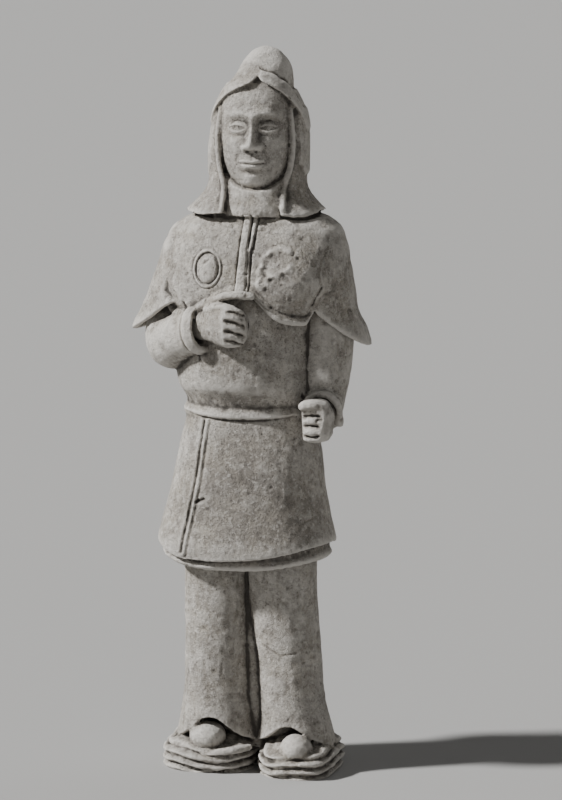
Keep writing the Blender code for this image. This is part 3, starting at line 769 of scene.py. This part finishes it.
def fused(forms):
    """One skin of clay round all the forms, with the joins eased."""
    whole = forms[0]
    joined = bmesh.new()
    for form in forms:
        joined.from_mesh(form.data)
    joined.to_mesh(whole.data)
    joined.free()
    for form in forms[1:]:
        bpy.data.objects.remove(form)
    skin_over = whole.modifiers.new("Clay", "REMESH")
    skin_over.mode = "VOXEL"
    skin_over.voxel_size = CLAY_STEP * UNIT
    ease = whole.modifiers.new("Ease", "SMOOTH")
    ease.factor = 0.5
    ease.iterations = EASINGS
    return applied(whole)


def line_distance(x, z, points):
    """How far each spot (x, z) is from a line through the points, seen from the front."""
    nearest = np.full(len(x), 1e9)
    for (x0, z0), (x1, z1) in zip(points, points[1:]):
        run, rise = x1 - x0, z1 - z0
        share = np.clip(((x - x0) * run + (z - z0) * rise) / (run * run + rise * rise), 0, 1)
        nearest = np.minimum(nearest, np.hypot(x - x0 - share * run, z - z0 - share * rise))
    return nearest


def noise(spots, size, seed):
    """Soft noise between -1 and 1 whose lumps are about size across."""
    count = 32
    grid = np.random.default_rng(seed).uniform(-1, 1, (count, count, count))
    place = spots / size
    cell = np.floor(place).astype(int)
    part = eased(place - cell)
    total = np.zeros(len(spots))
    for corner in np.ndindex(2, 2, 2):
        weight = np.prod(np.where(corner, part, 1 - part), axis=1)
        i, j, k = ((cell + corner) % count).T
        total += weight * grid[i, j, k]
    return total


def plateau(away, half, soft):
    """1 within half of a line, with sides that are soft wide."""
    return eased((half - away) / soft + 0.5)


def read_skin(mesh):
    """Places, in units, and normals of a mesh's points."""
    count = len(mesh.vertices)
    spots = np.empty(count * 3)
    facing = np.empty(count * 3)
    mesh.vertices.foreach_get("co", spots)
    mesh.vertices.foreach_get("normal", facing)
    return spots.reshape(-1, 3) / UNIT, facing.reshape(-1, 3)


def write_skin(mesh, spots):
    """Moves a mesh's points to the given places."""
    mesh.vertices.foreach_set("co", (spots * UNIT).ravel())
    mesh.update()


def refined(mesh):
    """Splits the faces where the carving is finest: the face, the fists, the chest and the feet."""
    shape = bmesh.new()
    shape.from_mesh(mesh)
    spots = np.array([face.calc_center_median() for face in shape.faces]) / UNIT
    x, y, z = spots.T
    fine = (np.abs(x - HEAD_AXIS[0] - HEAD_SHIFT) < 29) & (z > 444) & (z < 535) & (y < -4)
    fine |= np.linalg.norm(spots - (-6, -55, 350), axis=1) < 33
    fine |= np.linalg.norm(spots - (58, -36, 276), axis=1) < 29
    fine |= (np.abs(x - 2) < 46) & (z > 364) & (z < 430) & (y < -26)
    fine |= (z < 44) & (y < -14)
    edges = {edge for face, pick in zip(list(shape.faces), fine) if pick for edge in face.edges}
    bmesh.ops.subdivide_edges(shape, edges=list(edges), cuts=1, use_grid_fill=True)
    inside = {point for edge in edges if edge.is_valid for point in edge.verts}
    axes = {"use_axis_x": True, "use_axis_y": True, "use_axis_z": True}
    bmesh.ops.smooth_vert(shape, verts=list(inside), factor=0.5, **axes)
    shape.to_mesh(mesh)
    shape.free()


def head_frame(spots):
    """How far each spot is to the turned head's left of its axis, and how far behind it."""
    x, y, _ = spots.T
    aside, behind = x - HEAD_AXIS[0] - HEAD_SHIFT, y - HEAD_AXIS[1]
    cos, sin = math.cos(HEAD_TURN), math.sin(HEAD_TURN)
    return aside * cos + behind * sin, behind * cos - aside * sin


def features(across, z):
    """How far the face stands out from its egg. across is the distance from its middle line."""
    side = np.abs(across)
    eye_x, eye_z = 11.8, 491.0
    from_eye = side - eye_x
    arch = np.clip(1 - (from_eye / 6.6) ** 2, 0, 1)

    out = -3.4 * bell(from_eye + 0.8, 7.5) * bell(z - eye_z - 1.0, 6)
    out += 3.4 * np.clip(1 - (from_eye / 8.4) ** 2 - ((z - eye_z) / 5.6) ** 2, 0, 1) ** 1.15
    upper, lower = eye_z + 1.7 * arch, eye_z - 2.1 * arch
    opening = eased((upper - z) / 0.7 + 0.5) * eased((z - lower) / 0.7 + 0.5) * eased(arch / 0.15)
    out -= 0.75 * opening
    out += 0.4 * bell(z - upper - 0.9, 0.8) * eased(arch / 0.3)
    out -= 0.6 * bell(z - upper - 3.3 * arch, 0.8) * eased(arch / 0.3)
    out += 0.25 * bell(z - lower + 0.9, 0.8) * eased(arch / 0.3)

    brow = 500.2 + 1.8 * np.sin(np.clip((side - 2) / 19, 0, 1) * math.pi)
    out += 1.5 * bell(z - brow, 3.2) * eased((21 - side) / 8)

    keys = [470, 472.5, 474.4, 476, 478, 480, 484, 490, 497, 504, 508]
    ridge = through(keys, [0, 0.2, 2.6, 6.6, 8.6, 8.5, 6.8, 4.3, 2.2, 0.7, 0], z)
    width = through(keys, [5.6, 5.6, 5.4, 5.2, 4.9, 4.6, 4.0, 3.7, 4.0, 5, 6], z)
    out += ridge * bell(side, width)
    out += 2.6 * bell(np.hypot((side - 5.6) / 2.5, (z - 477.0) / 2.7), 1)
    out -= 1.5 * bell(np.hypot((side - 3.3) / 1.5, (z - 474.1) / 1.1), 1)

    out += 2.6 * bell(side, 12) * bell(z - 465.5, 8.5)
    out -= 0.55 * bell(side, 1.5) * bell(z - 470.3, 2.4)
    line = 464.8 + 0.004 * side ** 2
    mouth = np.clip(1 - (side / 9.6) ** 2, 0, 1)
    bow = 1 - 0.25 * bell(side, 1.7)
    out += 1.6 * bell(z - line - 1.7 * bow, 1.5) * np.sqrt(mouth)
    out += 2.0 * bell(z - line + 2.3, 1.9) * np.clip(1 - (side / 8.2) ** 2, 0, 1)
    out -= 1.2 * bell(z - line, 0.7) * eased(mouth / 0.3)
    out -= 0.7 * bell(np.hypot(side - 10.2, z - 465.2), 1.7)
    out -= 1.2 * bell(side, 7) * bell(z - 458.8, 1.9)
    out += 2.6 * bell(side, 8.5) * bell(z - 452.8, 4.8)

    out += 2.0 * bell(side - 16, 9) * bell(z - 479, 9.5)
    out -= 0.6 * bell(line_distance(side, z, [(7.8, 476.5), (12.0, 467)]), 1.7)
    return out


def carve_face(spots, front):
    """The face's push, on the part of the skin that is the face."""
    z = spots[:, 2]
    across, behind = head_frame(spots)
    on_face = eased((24.5 - np.abs(across)) / 1.5) * (z > CHIN - 1) * (z < HAIRLINE)
    on_face = on_face * (behind < -14) * front
    return features(across, z) * on_face


def carve_chest(spots, front):
    """The placket's strips, the roundels, the worn fold by the left one and the cape's incised edges."""
    x, y, z = spots.T
    push = np.zeros(len(x))
    chest = front * eased((z - 371) / 2) * (z < NECKLINE - 1)
    broad = 2.3 + 1.3 * eased((430 - z) / 50)
    slim = 1.3 - 0.7 * eased((408 - z) / 10)
    wide = line_distance(x, z, [(1.9, 430), (0.4, 370)])
    narrow = line_distance(x, z, [(8.2, 430), (6.6, 410), (5.3, 401), (5.2, 370)])
    push += 2.0 * plateau(wide, broad, 0.9) * chest
    push += 1.6 * plateau(narrow, slim, 0.9) * chest
    push -= 1.0 * bell(wide - broad - 0.9, 0.7) * chest
    push -= 0.9 * bell(narrow - slim - 0.9, 0.7) * chest
    push += 1.0 * bell(np.hypot(x - 5.5, z - 402.1), 1.5) * chest

    rim = np.hypot((x + 26.3) / 10.2, (z - 387.8) / 13.0)
    worn = 1 - 0.6 * bell(np.hypot(x + 17, z - 398), 7)
    push += 0.9 * plateau(np.abs(rim - 1) * 10, 0.7, 0.8) * front * worn
    push -= 0.7 * bell((rim - 1.14) * 10, 0.7) * front * worn
    push -= 0.9 * bell((rim - 0.85) * 10, 0.7) * front
    boss = np.hypot((x + 25.4) / 7.0, (z - 387.4) / 10.0)
    push += 2.4 * np.clip(1 - boss ** 2, 0, 1) ** 0.7 * front
    push -= 0.5 * bell((boss - 0.62) * 7, 0.7) * front * eased((z - 386) / 6)

    arc = line_distance(x, z, [(14.2, 377), (14.0, 386), (16.0, 395), (21, 401), (29, 403.4), (36, 401)])
    rubbed = 0.6 + 0.5 * noise(spots, 5, 33)
    push += 1.3 * bell(arc, 2.0) * front * (y < -20) * rubbed
    push -= 0.7 * bell(arc - 3.2, 1.2) * front * (y < -20) * rubbed
    ring = line_distance(x, z, [(19, 389), (21.5, 395), (27, 398), (33, 396)])
    push -= 0.9 * bell(ring, 0.9) * front * (y < -20) * rubbed
    fold = line_distance(x, z, [(15, 378), (19, 383), (25, 385.5), (29, 389), (35, 391.5)])
    push += 1.8 * bell(fold - 2.5, 3.5) * front * (y < -20) * eased((388 - z + 0.5 * (x - 22)) / 6)
    worn_place = bell(np.hypot((x - 25) / 13, (z - 389) / 12), 1) * front * (y < -20)
    push += worn_place * (1.0 * noise(spots, 5.5, 31) + 0.7 * noise(spots, 2.6, 32))
    push -= 1.8 * bell(np.hypot((x - 22.6) / 2.6, (z - 380.5) / 1.7), 1) * front
    push -= 1.0 * bell(np.hypot((x - 18.6) / 1.6, (z - 383.5) / 1.4), 1) * front

    band = [(12, 366), (19.6, 360.2), (31.5, 353), (41.5, 350.4), (50, 350.6)]
    push -= 0.9 * bell(line_distance(x, z, band), 0.7) * front * (y < -36)

    for line, deep in (
        ([(61, 403), (57.6, 394), (56.2, 385), (57.8, 375)], 0.9),
        ([(57.6, 374), (54.5, 368), (51.4, 361)], 2.0),
        ([(-53, 388), (-57, 376), (-50.5, 363)], 0.6),
    ):
        away = line_distance(x, z, line)
        push -= deep * bell(away, 0.9) * front * (y < -12) * (z > 361)
    return push


def carve_fists(spots, front):
    """The gaps between the fingers: deep cuts that fade out at both ends."""
    x, _, z = spots.T
    push = np.zeros(len(x))
    for centre, reach, cuts in (
        ((-1, -62, 347), 21, (
            ((-7.5, 359.0), (-1, 358.3), (8, 354.6), 2.6, 1.0),
            ((-9, 352.6), (-1, 351.0), (9, 346.8), 3.3, 1.1),
            ((-9, 345.4), (-1, 343.6), (9, 339.2), 3.3, 1.1),
            ((-8.5, 338.2), (-1, 336.6), (8, 332.6), 2.6, 1.0),
        )),
        ((56, -46, 277), 20, (
            ((46, 280.0), (55, 281.3), (63, 281.0), 3.2, 1.0),
            ((57, 277.0), (60, 278.4), (64, 279.0), 1.2, 0.8),
            ((46, 272.6), (54, 273.6), (62.5, 273.0), 3.2, 1.0),
            ((47, 265.6), (54, 265.2), (62, 266.4), 3.0, 1.0),
        )),
    ):
        near = (np.linalg.norm(spots - centre, axis=1) < reach) * front
        for *line, deep, width in cuts:
            away = line_distance(x, z, line)
            along = (x - line[0][0]) / (line[-1][0] - line[0][0])
            worn = (0.95 + 0.3 * noise(spots, 4, 34)) * eased(along / 0.3) * eased((1 - along) / 0.25)
            push -= (0.8 * deep * bell(away, width) + 0.5 * deep * bell(away, 2.8)) * near * worn
    return push


def carve_dress(spots, front):
    """The belt's edges, the skirt's lapped seam and gash, and creases in the sleeve and the trousers."""
    x, y, z = spots.T
    push = np.zeros(len(x))
    around = (np.hypot(x, y) > 28) * (x < 39)
    belt_foot = BELT_FOOT - 0.5 + 3.2 * np.clip((x + 4) / 40, -1, 1) ** 2 * (y < 0)
    push -= 1.3 * bell(z - belt_foot, 0.9) * around
    push += 0.5 * bell(z - belt_foot - 1.8, 1.2) * around

    seam = [(-30.5, 272), (-34.1, 248.6), (-36.6, 226.3), (-41.6, 203.8), (-47.7, 172.5)]
    away = line_distance(x, z, seam)
    left_of = x < np.interp(z, [p[1] for p in reversed(seam)], [p[0] for p in reversed(seam)])
    on_skirt = front * (z < BELT_FOOT - 1) * (z > SKIRT_HEM - 1)
    push -= 1.3 * bell(away, 0.9) * on_skirt
    push += np.where(left_of, 0.4 * bell(away - 2.6, 1.1), 1.0 * bell(away - 2.2, 1.2)) * on_skirt
    push -= 0.6 * bell(away - 4.6, 0.8) * np.where(left_of, 0, 1) * on_skirt
    push -= 2.2 * bell(line_distance(x, z, [(-36.2, 211), (-29.8, 213.6)]), 1.0) * front

    push -= 0.5 * bell(line_distance(x, z, [(60, 204), (50, 199), (42.7, 195.5)]), 0.7) * front
    push -= 0.6 * bell(line_distance(x, z, [(13, 98), (26, 92), (36, 94), (43.6, 97.6)]), 0.8) * front
    crease = line_distance(x, z, [(48.4, 338), (47.5, 325), (47, 313)])
    push += 0.8 * bell(crease, 1.8) * front * (y < -20)
    return push


def tooled(spots):
    """Grooves that go straight in, behind the cuffs, along brim and hood, and between the laps."""
    push = np.zeros(len(spots))
    for mouth, inside, behind, reach in (
        ((-29.5, -40.5, 343.2), (-39.5, -34.5, 339.5), 9.5, 23),
        ((57, -22, 280), (57, -8, 288), 5.5, 19),
    ):
        along = np.subtract(inside, mouth) / np.linalg.norm(np.subtract(inside, mouth))
        from_mouth = spots - mouth
        down = from_mouth @ along
        out = np.linalg.norm(from_mouth - np.outer(down, along), axis=1)
        near = (out < reach) * (out > 11)
        push -= 1.7 * bell(down - behind, 1.0) * near
        push += 0.6 * bell(down - behind + 3.5, 2.4) * near

    x, y, z = spots.T
    across, behind = head_frame(spots)
    turn = np.arctan2(across - 2, 2.5 - behind)
    on_brim = (z > 480) * eased((turn - 0.02) / 0.06) * eased((1.7 - turn) / 0.3)
    push -= 1.2 * bell(z - brim_edge(turn) - 0.8, 0.9) * on_brim
    on_shoulders = (z < 432) * (np.hypot(x, y) > 33) * (np.abs(turn) < 2.9)
    push -= 1.8 * bell(z - hood_foot(turn) + 1.6, 1.2) * on_shoulders

    for middle, wide, front, phase in PADS:
        turn = np.arctan2((x - middle) / wide, (5 - y) / front)
        lap = (z + pad_wave(turn, phase)) * PAD_FOLDS / PAD_TOP
        from_crease = np.abs(lap - np.floor(lap) - 0.5) * PAD_TOP / PAD_FOLDS
        near = (np.hypot((x - middle) / wide, (y - 5) / front) > 0.8) * (z < PAD_TOP - 1) * (z > 0.5)
        ragged = np.clip(0.7 + 0.9 * noise(spots / (1.6, 1.6, 1), 6, 35), 0, 1.6)
        push -= 1.6 * bell(from_crease, 0.8) * near * (np.abs(x - middle) < wide + 4) * ragged
    return push


def weather(mesh):
    """Hand-pressed unevenness, pits, scratches and the small losses of an old clay figure."""
    spots, facing = read_skin(mesh)
    on_head = eased((spots[:, 2] - 440) / 10)
    on_pads = eased((24 - spots[:, 2]) / 6)
    push = 0.55 * noise(spots, 17, 1) + (0.2 + 0.5 * on_pads) * noise(spots, 7, 2) * (1 - 0.5 * on_head)
    push += 0.16 * noise(spots, 3.2, 3) * (1 - 0.5 * on_head) + 0.12 * noise(spots, 1.7, 4)
    push += 0.16 * noise(spots / (1, 1, 5), 2.2, 5) * (1 - on_head)

    lookup = KDTree(len(spots))
    for index, spot in enumerate(spots):
        lookup.insert(spot, index)
    lookup.balance()
    chance = np.random.default_rng(11)
    for index in chance.choice(len(spots), PITS, replace=False):
        centre = spots[index]
        size = chance.uniform(0.9, 2.4)
        deep = chance.uniform(0.3, 0.7) * size * (0.3 if centre[2] > 440 or centre[2] < 38 else 1)
        for _, other, away in lookup.find_range(centre, size):
            push[other] -= deep * 0.5 * (1 - (away / size) ** 2)
    for centre, size, deep in CHIPS:
        for _, other, away in lookup.find_range(centre, size):
            push[other] -= deep * (1 - (away / size) ** 2)
    write_skin(mesh, spots + facing * push[:, None])


def carve(mesh):
    """All the strokes. The front's move the skin along Y, and the tooled grooves go straight in."""
    spots, facing = read_skin(mesh)
    front = eased(-facing[:, 1] * 2.5) * (spots[:, 1] < 0)
    push = carve_face(spots, front) + carve_chest(spots, front) + carve_fists(spots, front)
    push += carve_dress(spots, front)
    spots = spots + facing * tooled(spots)[:, None]
    spots[:, 1] -= push
    write_skin(mesh, spots)


def faceted(form):
    """Brings the skin down to its number of triangles."""
    thin = form.modifiers.new("Facets", "DECIMATE")
    thin.use_collapse_triangulate = True
    thin.ratio = TRIANGLES / sum(len(face.vertices) - 2 for face in form.data.polygons)
    applied(form)


def stand_flat(mesh):
    """Cuts the feet level at z = 0 and closes the cut."""
    shape = bmesh.new()
    shape.from_mesh(mesh)
    whole = shape.verts[:] + shape.edges[:] + shape.faces[:]
    ground, up = (0, 0, 0), (0, 0, 1)
    cut = bmesh.ops.bisect_plane(shape, geom=whole, plane_co=ground, plane_no=up, clear_inner=True)
    rim = [edge for edge in cut["geom_cut"] if isinstance(edge, bmesh.types.BMEdge)]
    closed = bmesh.ops.holes_fill(shape, edges=rim)
    bmesh.ops.triangulate(shape, faces=closed["faces"])
    bmesh.ops.recalc_face_normals(shape, faces=shape.faces)
    shape.to_mesh(mesh)
    shape.free()


def store_shade_light_and_stains(mesh):
    """Stores how hollow the skin is at each point, which the clay's colour turns into painted shade in
    its hollows and a painted highlight on its ridges, and how stained, with painted light on the
    figure's right side, for the clay's colour.
    """
    spots, facing = read_skin(mesh)
    count = len(spots)
    ends = np.empty(len(mesh.edges) * 2, int)
    mesh.edges.foreach_get("vertices", ends)
    a, b = ends.reshape(-1, 2).T
    friends = np.bincount(a, minlength=count) + np.bincount(b, minlength=count)
    eased_spots = spots.copy()
    for _ in range(HOLLOW_EASINGS):
        total = np.zeros_like(spots)
        for axis in range(3):
            total[:, axis] = np.bincount(a, eased_spots[b, axis], count)
            total[:, axis] += np.bincount(b, eased_spots[a, axis], count)
        eased_spots = 0.4 * eased_spots + 0.6 * total / friends[:, None]
    # How hollow each point is: the clay's colour paints shade into the hollows and a highlight on the
    # ridges from it.
    hollow = np.einsum("ij,ij->i", eased_spots - spots, facing)

    stain_and_painted_light = 0.5 * noise(spots, 30, 21) + 0.35 * noise(spots, 11, 22) + 0.25 * noise(spots, 5, 23)
    # Darker patches on the skirt's front and by its gash, the belly, the left breast and the left leg.
    # Pale ones below the jacket's hem, on the belt and on the left sleeve, and painted light on the
    # figure's right chest and the right side of the skirt, which face the key light.
    for centre, size, dark in (
        ((10, -40, 215), 34, 0.7),
        ((-2, -46, 305), 26, 0.45),
        ((-25, -36, 212), 12, 0.6),
        ((35, -30, 90), 40, 0.25),
        ((34, -46, 372), 18, 0.4),
        ((19, -46, 340), 8, -1.6),
        ((26, -38, 280), 12, -0.8),
        ((-35, -36, 400), 40, -0.4),
        ((48, -34, 320), 7, -0.6),
        ((-60, 0, 220), 30, -0.4),
    ):
        near = bell(np.linalg.norm(spots - centre, axis=1), size)
        stain_and_painted_light += dark * near * (1 + 0.8 * noise(spots, 4, 24))
    for name, values in (("Hollow", hollow), ("StainAndPaintedLight", stain_and_painted_light)):
        layer = mesh.attributes.new(name, "FLOAT", "POINT")
        layer.data.foreach_set("value", values.astype(np.float32))


def clay():
    """Dry grey earthenware: mottled and specked, pale on its ridges from wear and a painted highlight,
    and darkened in its hollows by painted shade.
    """
    material = bpy.data.materials.new("fired_clay")
    material.use_nodes = True
    tree = material.node_tree
    nodes, links = tree.nodes, tree.links
    shader = nodes["Principled BSDF"]
    shader.inputs["Metallic"].default_value = 0.0
    shader.inputs["Specular IOR Level"].default_value = 0.25
    place = nodes.new("ShaderNodeTexCoord").outputs["Object"]

    def lumps(scale, detail, rough):
        node = nodes.new("ShaderNodeTexNoise")
        node.inputs["Scale"].default_value = scale
        node.inputs["Detail"].default_value = detail
        node.inputs["Roughness"].default_value = rough
        links.new(place, node.inputs["Vector"])
        return node.outputs["Fac"]

    def stretched(value, low, high, start=0.0, end=1.0):
        node = nodes.new("ShaderNodeMapRange")
        for name, number in (("From Min", low), ("From Max", high), ("To Min", start), ("To Max", end)):
            node.inputs[name].default_value = number
        links.new(value, node.inputs["Value"])
        return node.outputs["Result"]

    def mixed(share, first, second):
        node = nodes.new("ShaderNodeMix")
        node.data_type = "RGBA"
        links.new(share, node.inputs["Factor"])
        for socket, colour in ((node.inputs["A"], first), (node.inputs["B"], second)):
            if isinstance(colour, tuple):
                socket.default_value = colour
            else:
                links.new(colour, socket)
        return node.outputs["Result"]

    def attribute(name):
        node = nodes.new("ShaderNodeAttribute")
        node.attribute_name = name
        return node.outputs["Fac"]

    colour = mixed(stretched(lumps(28, 4, 0.6), 0.35, 0.65), CLAY_BODY, CLAY_WARM)
    # The stains darken the clay and the pale patches lighten it, those on the figure's right side being
    # painted light.
    colour = mixed(stretched(attribute("StainAndPaintedLight"), -0.15, 1.2, 0, 0.75), colour, CLAY_DARK)
    colour = mixed(stretched(attribute("StainAndPaintedLight"), -0.1, -1.1, 0, 0.7), colour, CLAY_PALE)
    colour = mixed(stretched(lumps(170, 6, 0.75), 0.47, 0.66, 0, 0.65), colour, CLAY_DARK)
    colour = mixed(stretched(lumps(260, 5, 0.7), 0.53, 0.68, 0, 0.6), colour, CLAY_PALE)
    colour = mixed(stretched(lumps(480, 4, 0.7), 0.52, 0.66, 0, 0.75), colour, CLAY_DARK)
    colour = mixed(stretched(lumps(760, 3, 0.6), 0.60, 0.70, 0, 0.9), colour, CLAY_SPECK_AND_SHADE)
    # Painted shade: the deeper the hollow, the darker the clay.
    colour = mixed(stretched(attribute("Hollow"), 0.1, 0.7, 0, 0.9), colour, CLAY_SPECK_AND_SHADE)
    # Ridges paler: partly real wear, partly a painted highlight.
    colour = mixed(stretched(attribute("Hollow"), -0.12, -0.8, 0, 0.7), colour, CLAY_PALE)
    links.new(colour, shader.inputs["Base Color"])
    links.new(stretched(lumps(300, 3, 0.6), 0.3, 0.7, 0.82, 0.97), shader.inputs["Roughness"])

    grain = nodes.new("ShaderNodeBump")
    grain.inputs["Strength"].default_value = 0.9
    grain.inputs["Distance"].default_value = 0.0016
    links.new(lumps(520, 6, 0.7), grain.inputs["Height"])
    lumpy = nodes.new("ShaderNodeBump")
    lumpy.inputs["Strength"].default_value = 0.6
    lumpy.inputs["Distance"].default_value = 0.0014
    links.new(lumps(240, 4, 0.6), lumpy.inputs["Height"])
    links.new(grain.outputs["Normal"], lumpy.inputs["Normal"])
    links.new(lumpy.outputs["Normal"], shader.inputs["Normal"])
    return material


def figure():
    """The warrior, carved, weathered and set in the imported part's box, and how far that moved it."""
    head = turned(face() + hood() + ear_flaps() + cap())
    warrior = fused(feet() + skirt() + torso() + jacket() + cape() + arms() + head)
    warrior.name = "warrior_clay"
    refined(warrior.data)
    carve(warrior.data)
    weather(warrior.data)
    faceted(warrior)
    stand_flat(warrior.data)
    low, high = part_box("warrior")
    spots = np.array([vertex.co for vertex in warrior.data.vertices])
    own = (spots.min(axis=0) + spots.max(axis=0)) / 2
    shift = Vector(((low.x + high.x) / 2 - own[0], (low.y + high.y) / 2 - own[1], 0))
    store_shade_light_and_stains(warrior.data)
    warrior.data.transform(Matrix.Translation(shift))
    warrior.data.materials.clear()
    warrior.data.materials.append(clay())
    warrior.data.shade_smooth()
    return warrior, shift


def floor():
    """A plain pale floor, wide enough to fill the view."""
    bpy.ops.mesh.primitive_circle_add(vertices=96, radius=FLOOR_RADIUS, fill_type="NGON")
    disc = bpy.context.object
    disc.name = "studio_floor"
    material = bpy.data.materials.new("studio_floor")
    material.use_nodes = True
    shader = material.node_tree.nodes["Principled BSDF"]
    shader.inputs["Base Color"].default_value = FLOOR_COLOUR
    shader.inputs["Roughness"].default_value = 0.95
    shader.inputs["Specular IOR Level"].default_value = 0.1
    disc.data.materials.append(material)


def sunlight(name, towards, spread, strength):
    """An even light from far off. towards is the way to it, and its spread softens its shadows."""
    light = bpy.data.lights.new(name, "SUN")
    light.angle = math.radians(spread)
    light.energy = strength
    holder = bpy.data.objects.new(name, light)
    holder.location = Vector(towards) * 2
    holder.rotation_euler = (-Vector(towards)).to_track_quat("-Z", "Y").to_euler()
    bpy.context.scene.collection.objects.link(holder)


def studio():
    """Soft light, strongest from high on the figure's right, and a dim even surround."""
    sunlight("Key", *KEY)
    sunlight("Fill", *FILL)
    sunlight("Back", *BACK)
    world = bpy.data.worlds.new("Studio")
    world.use_nodes = True
    surround = world.node_tree.nodes["Background"]
    surround.inputs["Color"].default_value = SURROUND_COLOUR
    surround.inputs["Strength"].default_value = SURROUND_STRENGTH
    bpy.context.scene.world = world


def camera(shift):
    """The camera at the photograph's view. shift is how far the figure was moved into its box."""
    turn = Vector((math.cos(CAMERA_TURN), math.sin(CAMERA_TURN), 0))
    level = math.cos(CAMERA_TILT)
    back = Vector((math.sin(CAMERA_TURN) * level, -math.cos(CAMERA_TURN) * level, math.sin(CAMERA_TILT)))
    target = AIM_ASIDE * turn + Vector((0, 0, AIM_HEIGHT)) + shift
    lens = bpy.data.cameras.new("Camera")
    lens.sensor_fit = "VERTICAL"
    lens.sensor_height = SENSOR_HEIGHT
    lens.lens = PIXELS_PER_METRE_AT_ONE / IMAGE_HEIGHT * SENSOR_HEIGHT
    lens.clip_start = 0.05
    lens.clip_end = 200
    holder = bpy.data.objects.new("Camera", lens)
    holder.location = target + CAMERA_DISTANCE * back
    holder.rotation_euler = (-back).to_track_quat("-Z", "Y").to_euler()
    bpy.context.scene.collection.objects.link(holder)
    bpy.context.scene.camera = holder


for old in list(bpy.data.objects):
    if old.type in ("CAMERA", "LIGHT"):
        bpy.data.objects.remove(old)
warrior, shift = figure()
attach(warrior, "root")
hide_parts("warrior")
floor()
studio()
camera(shift)
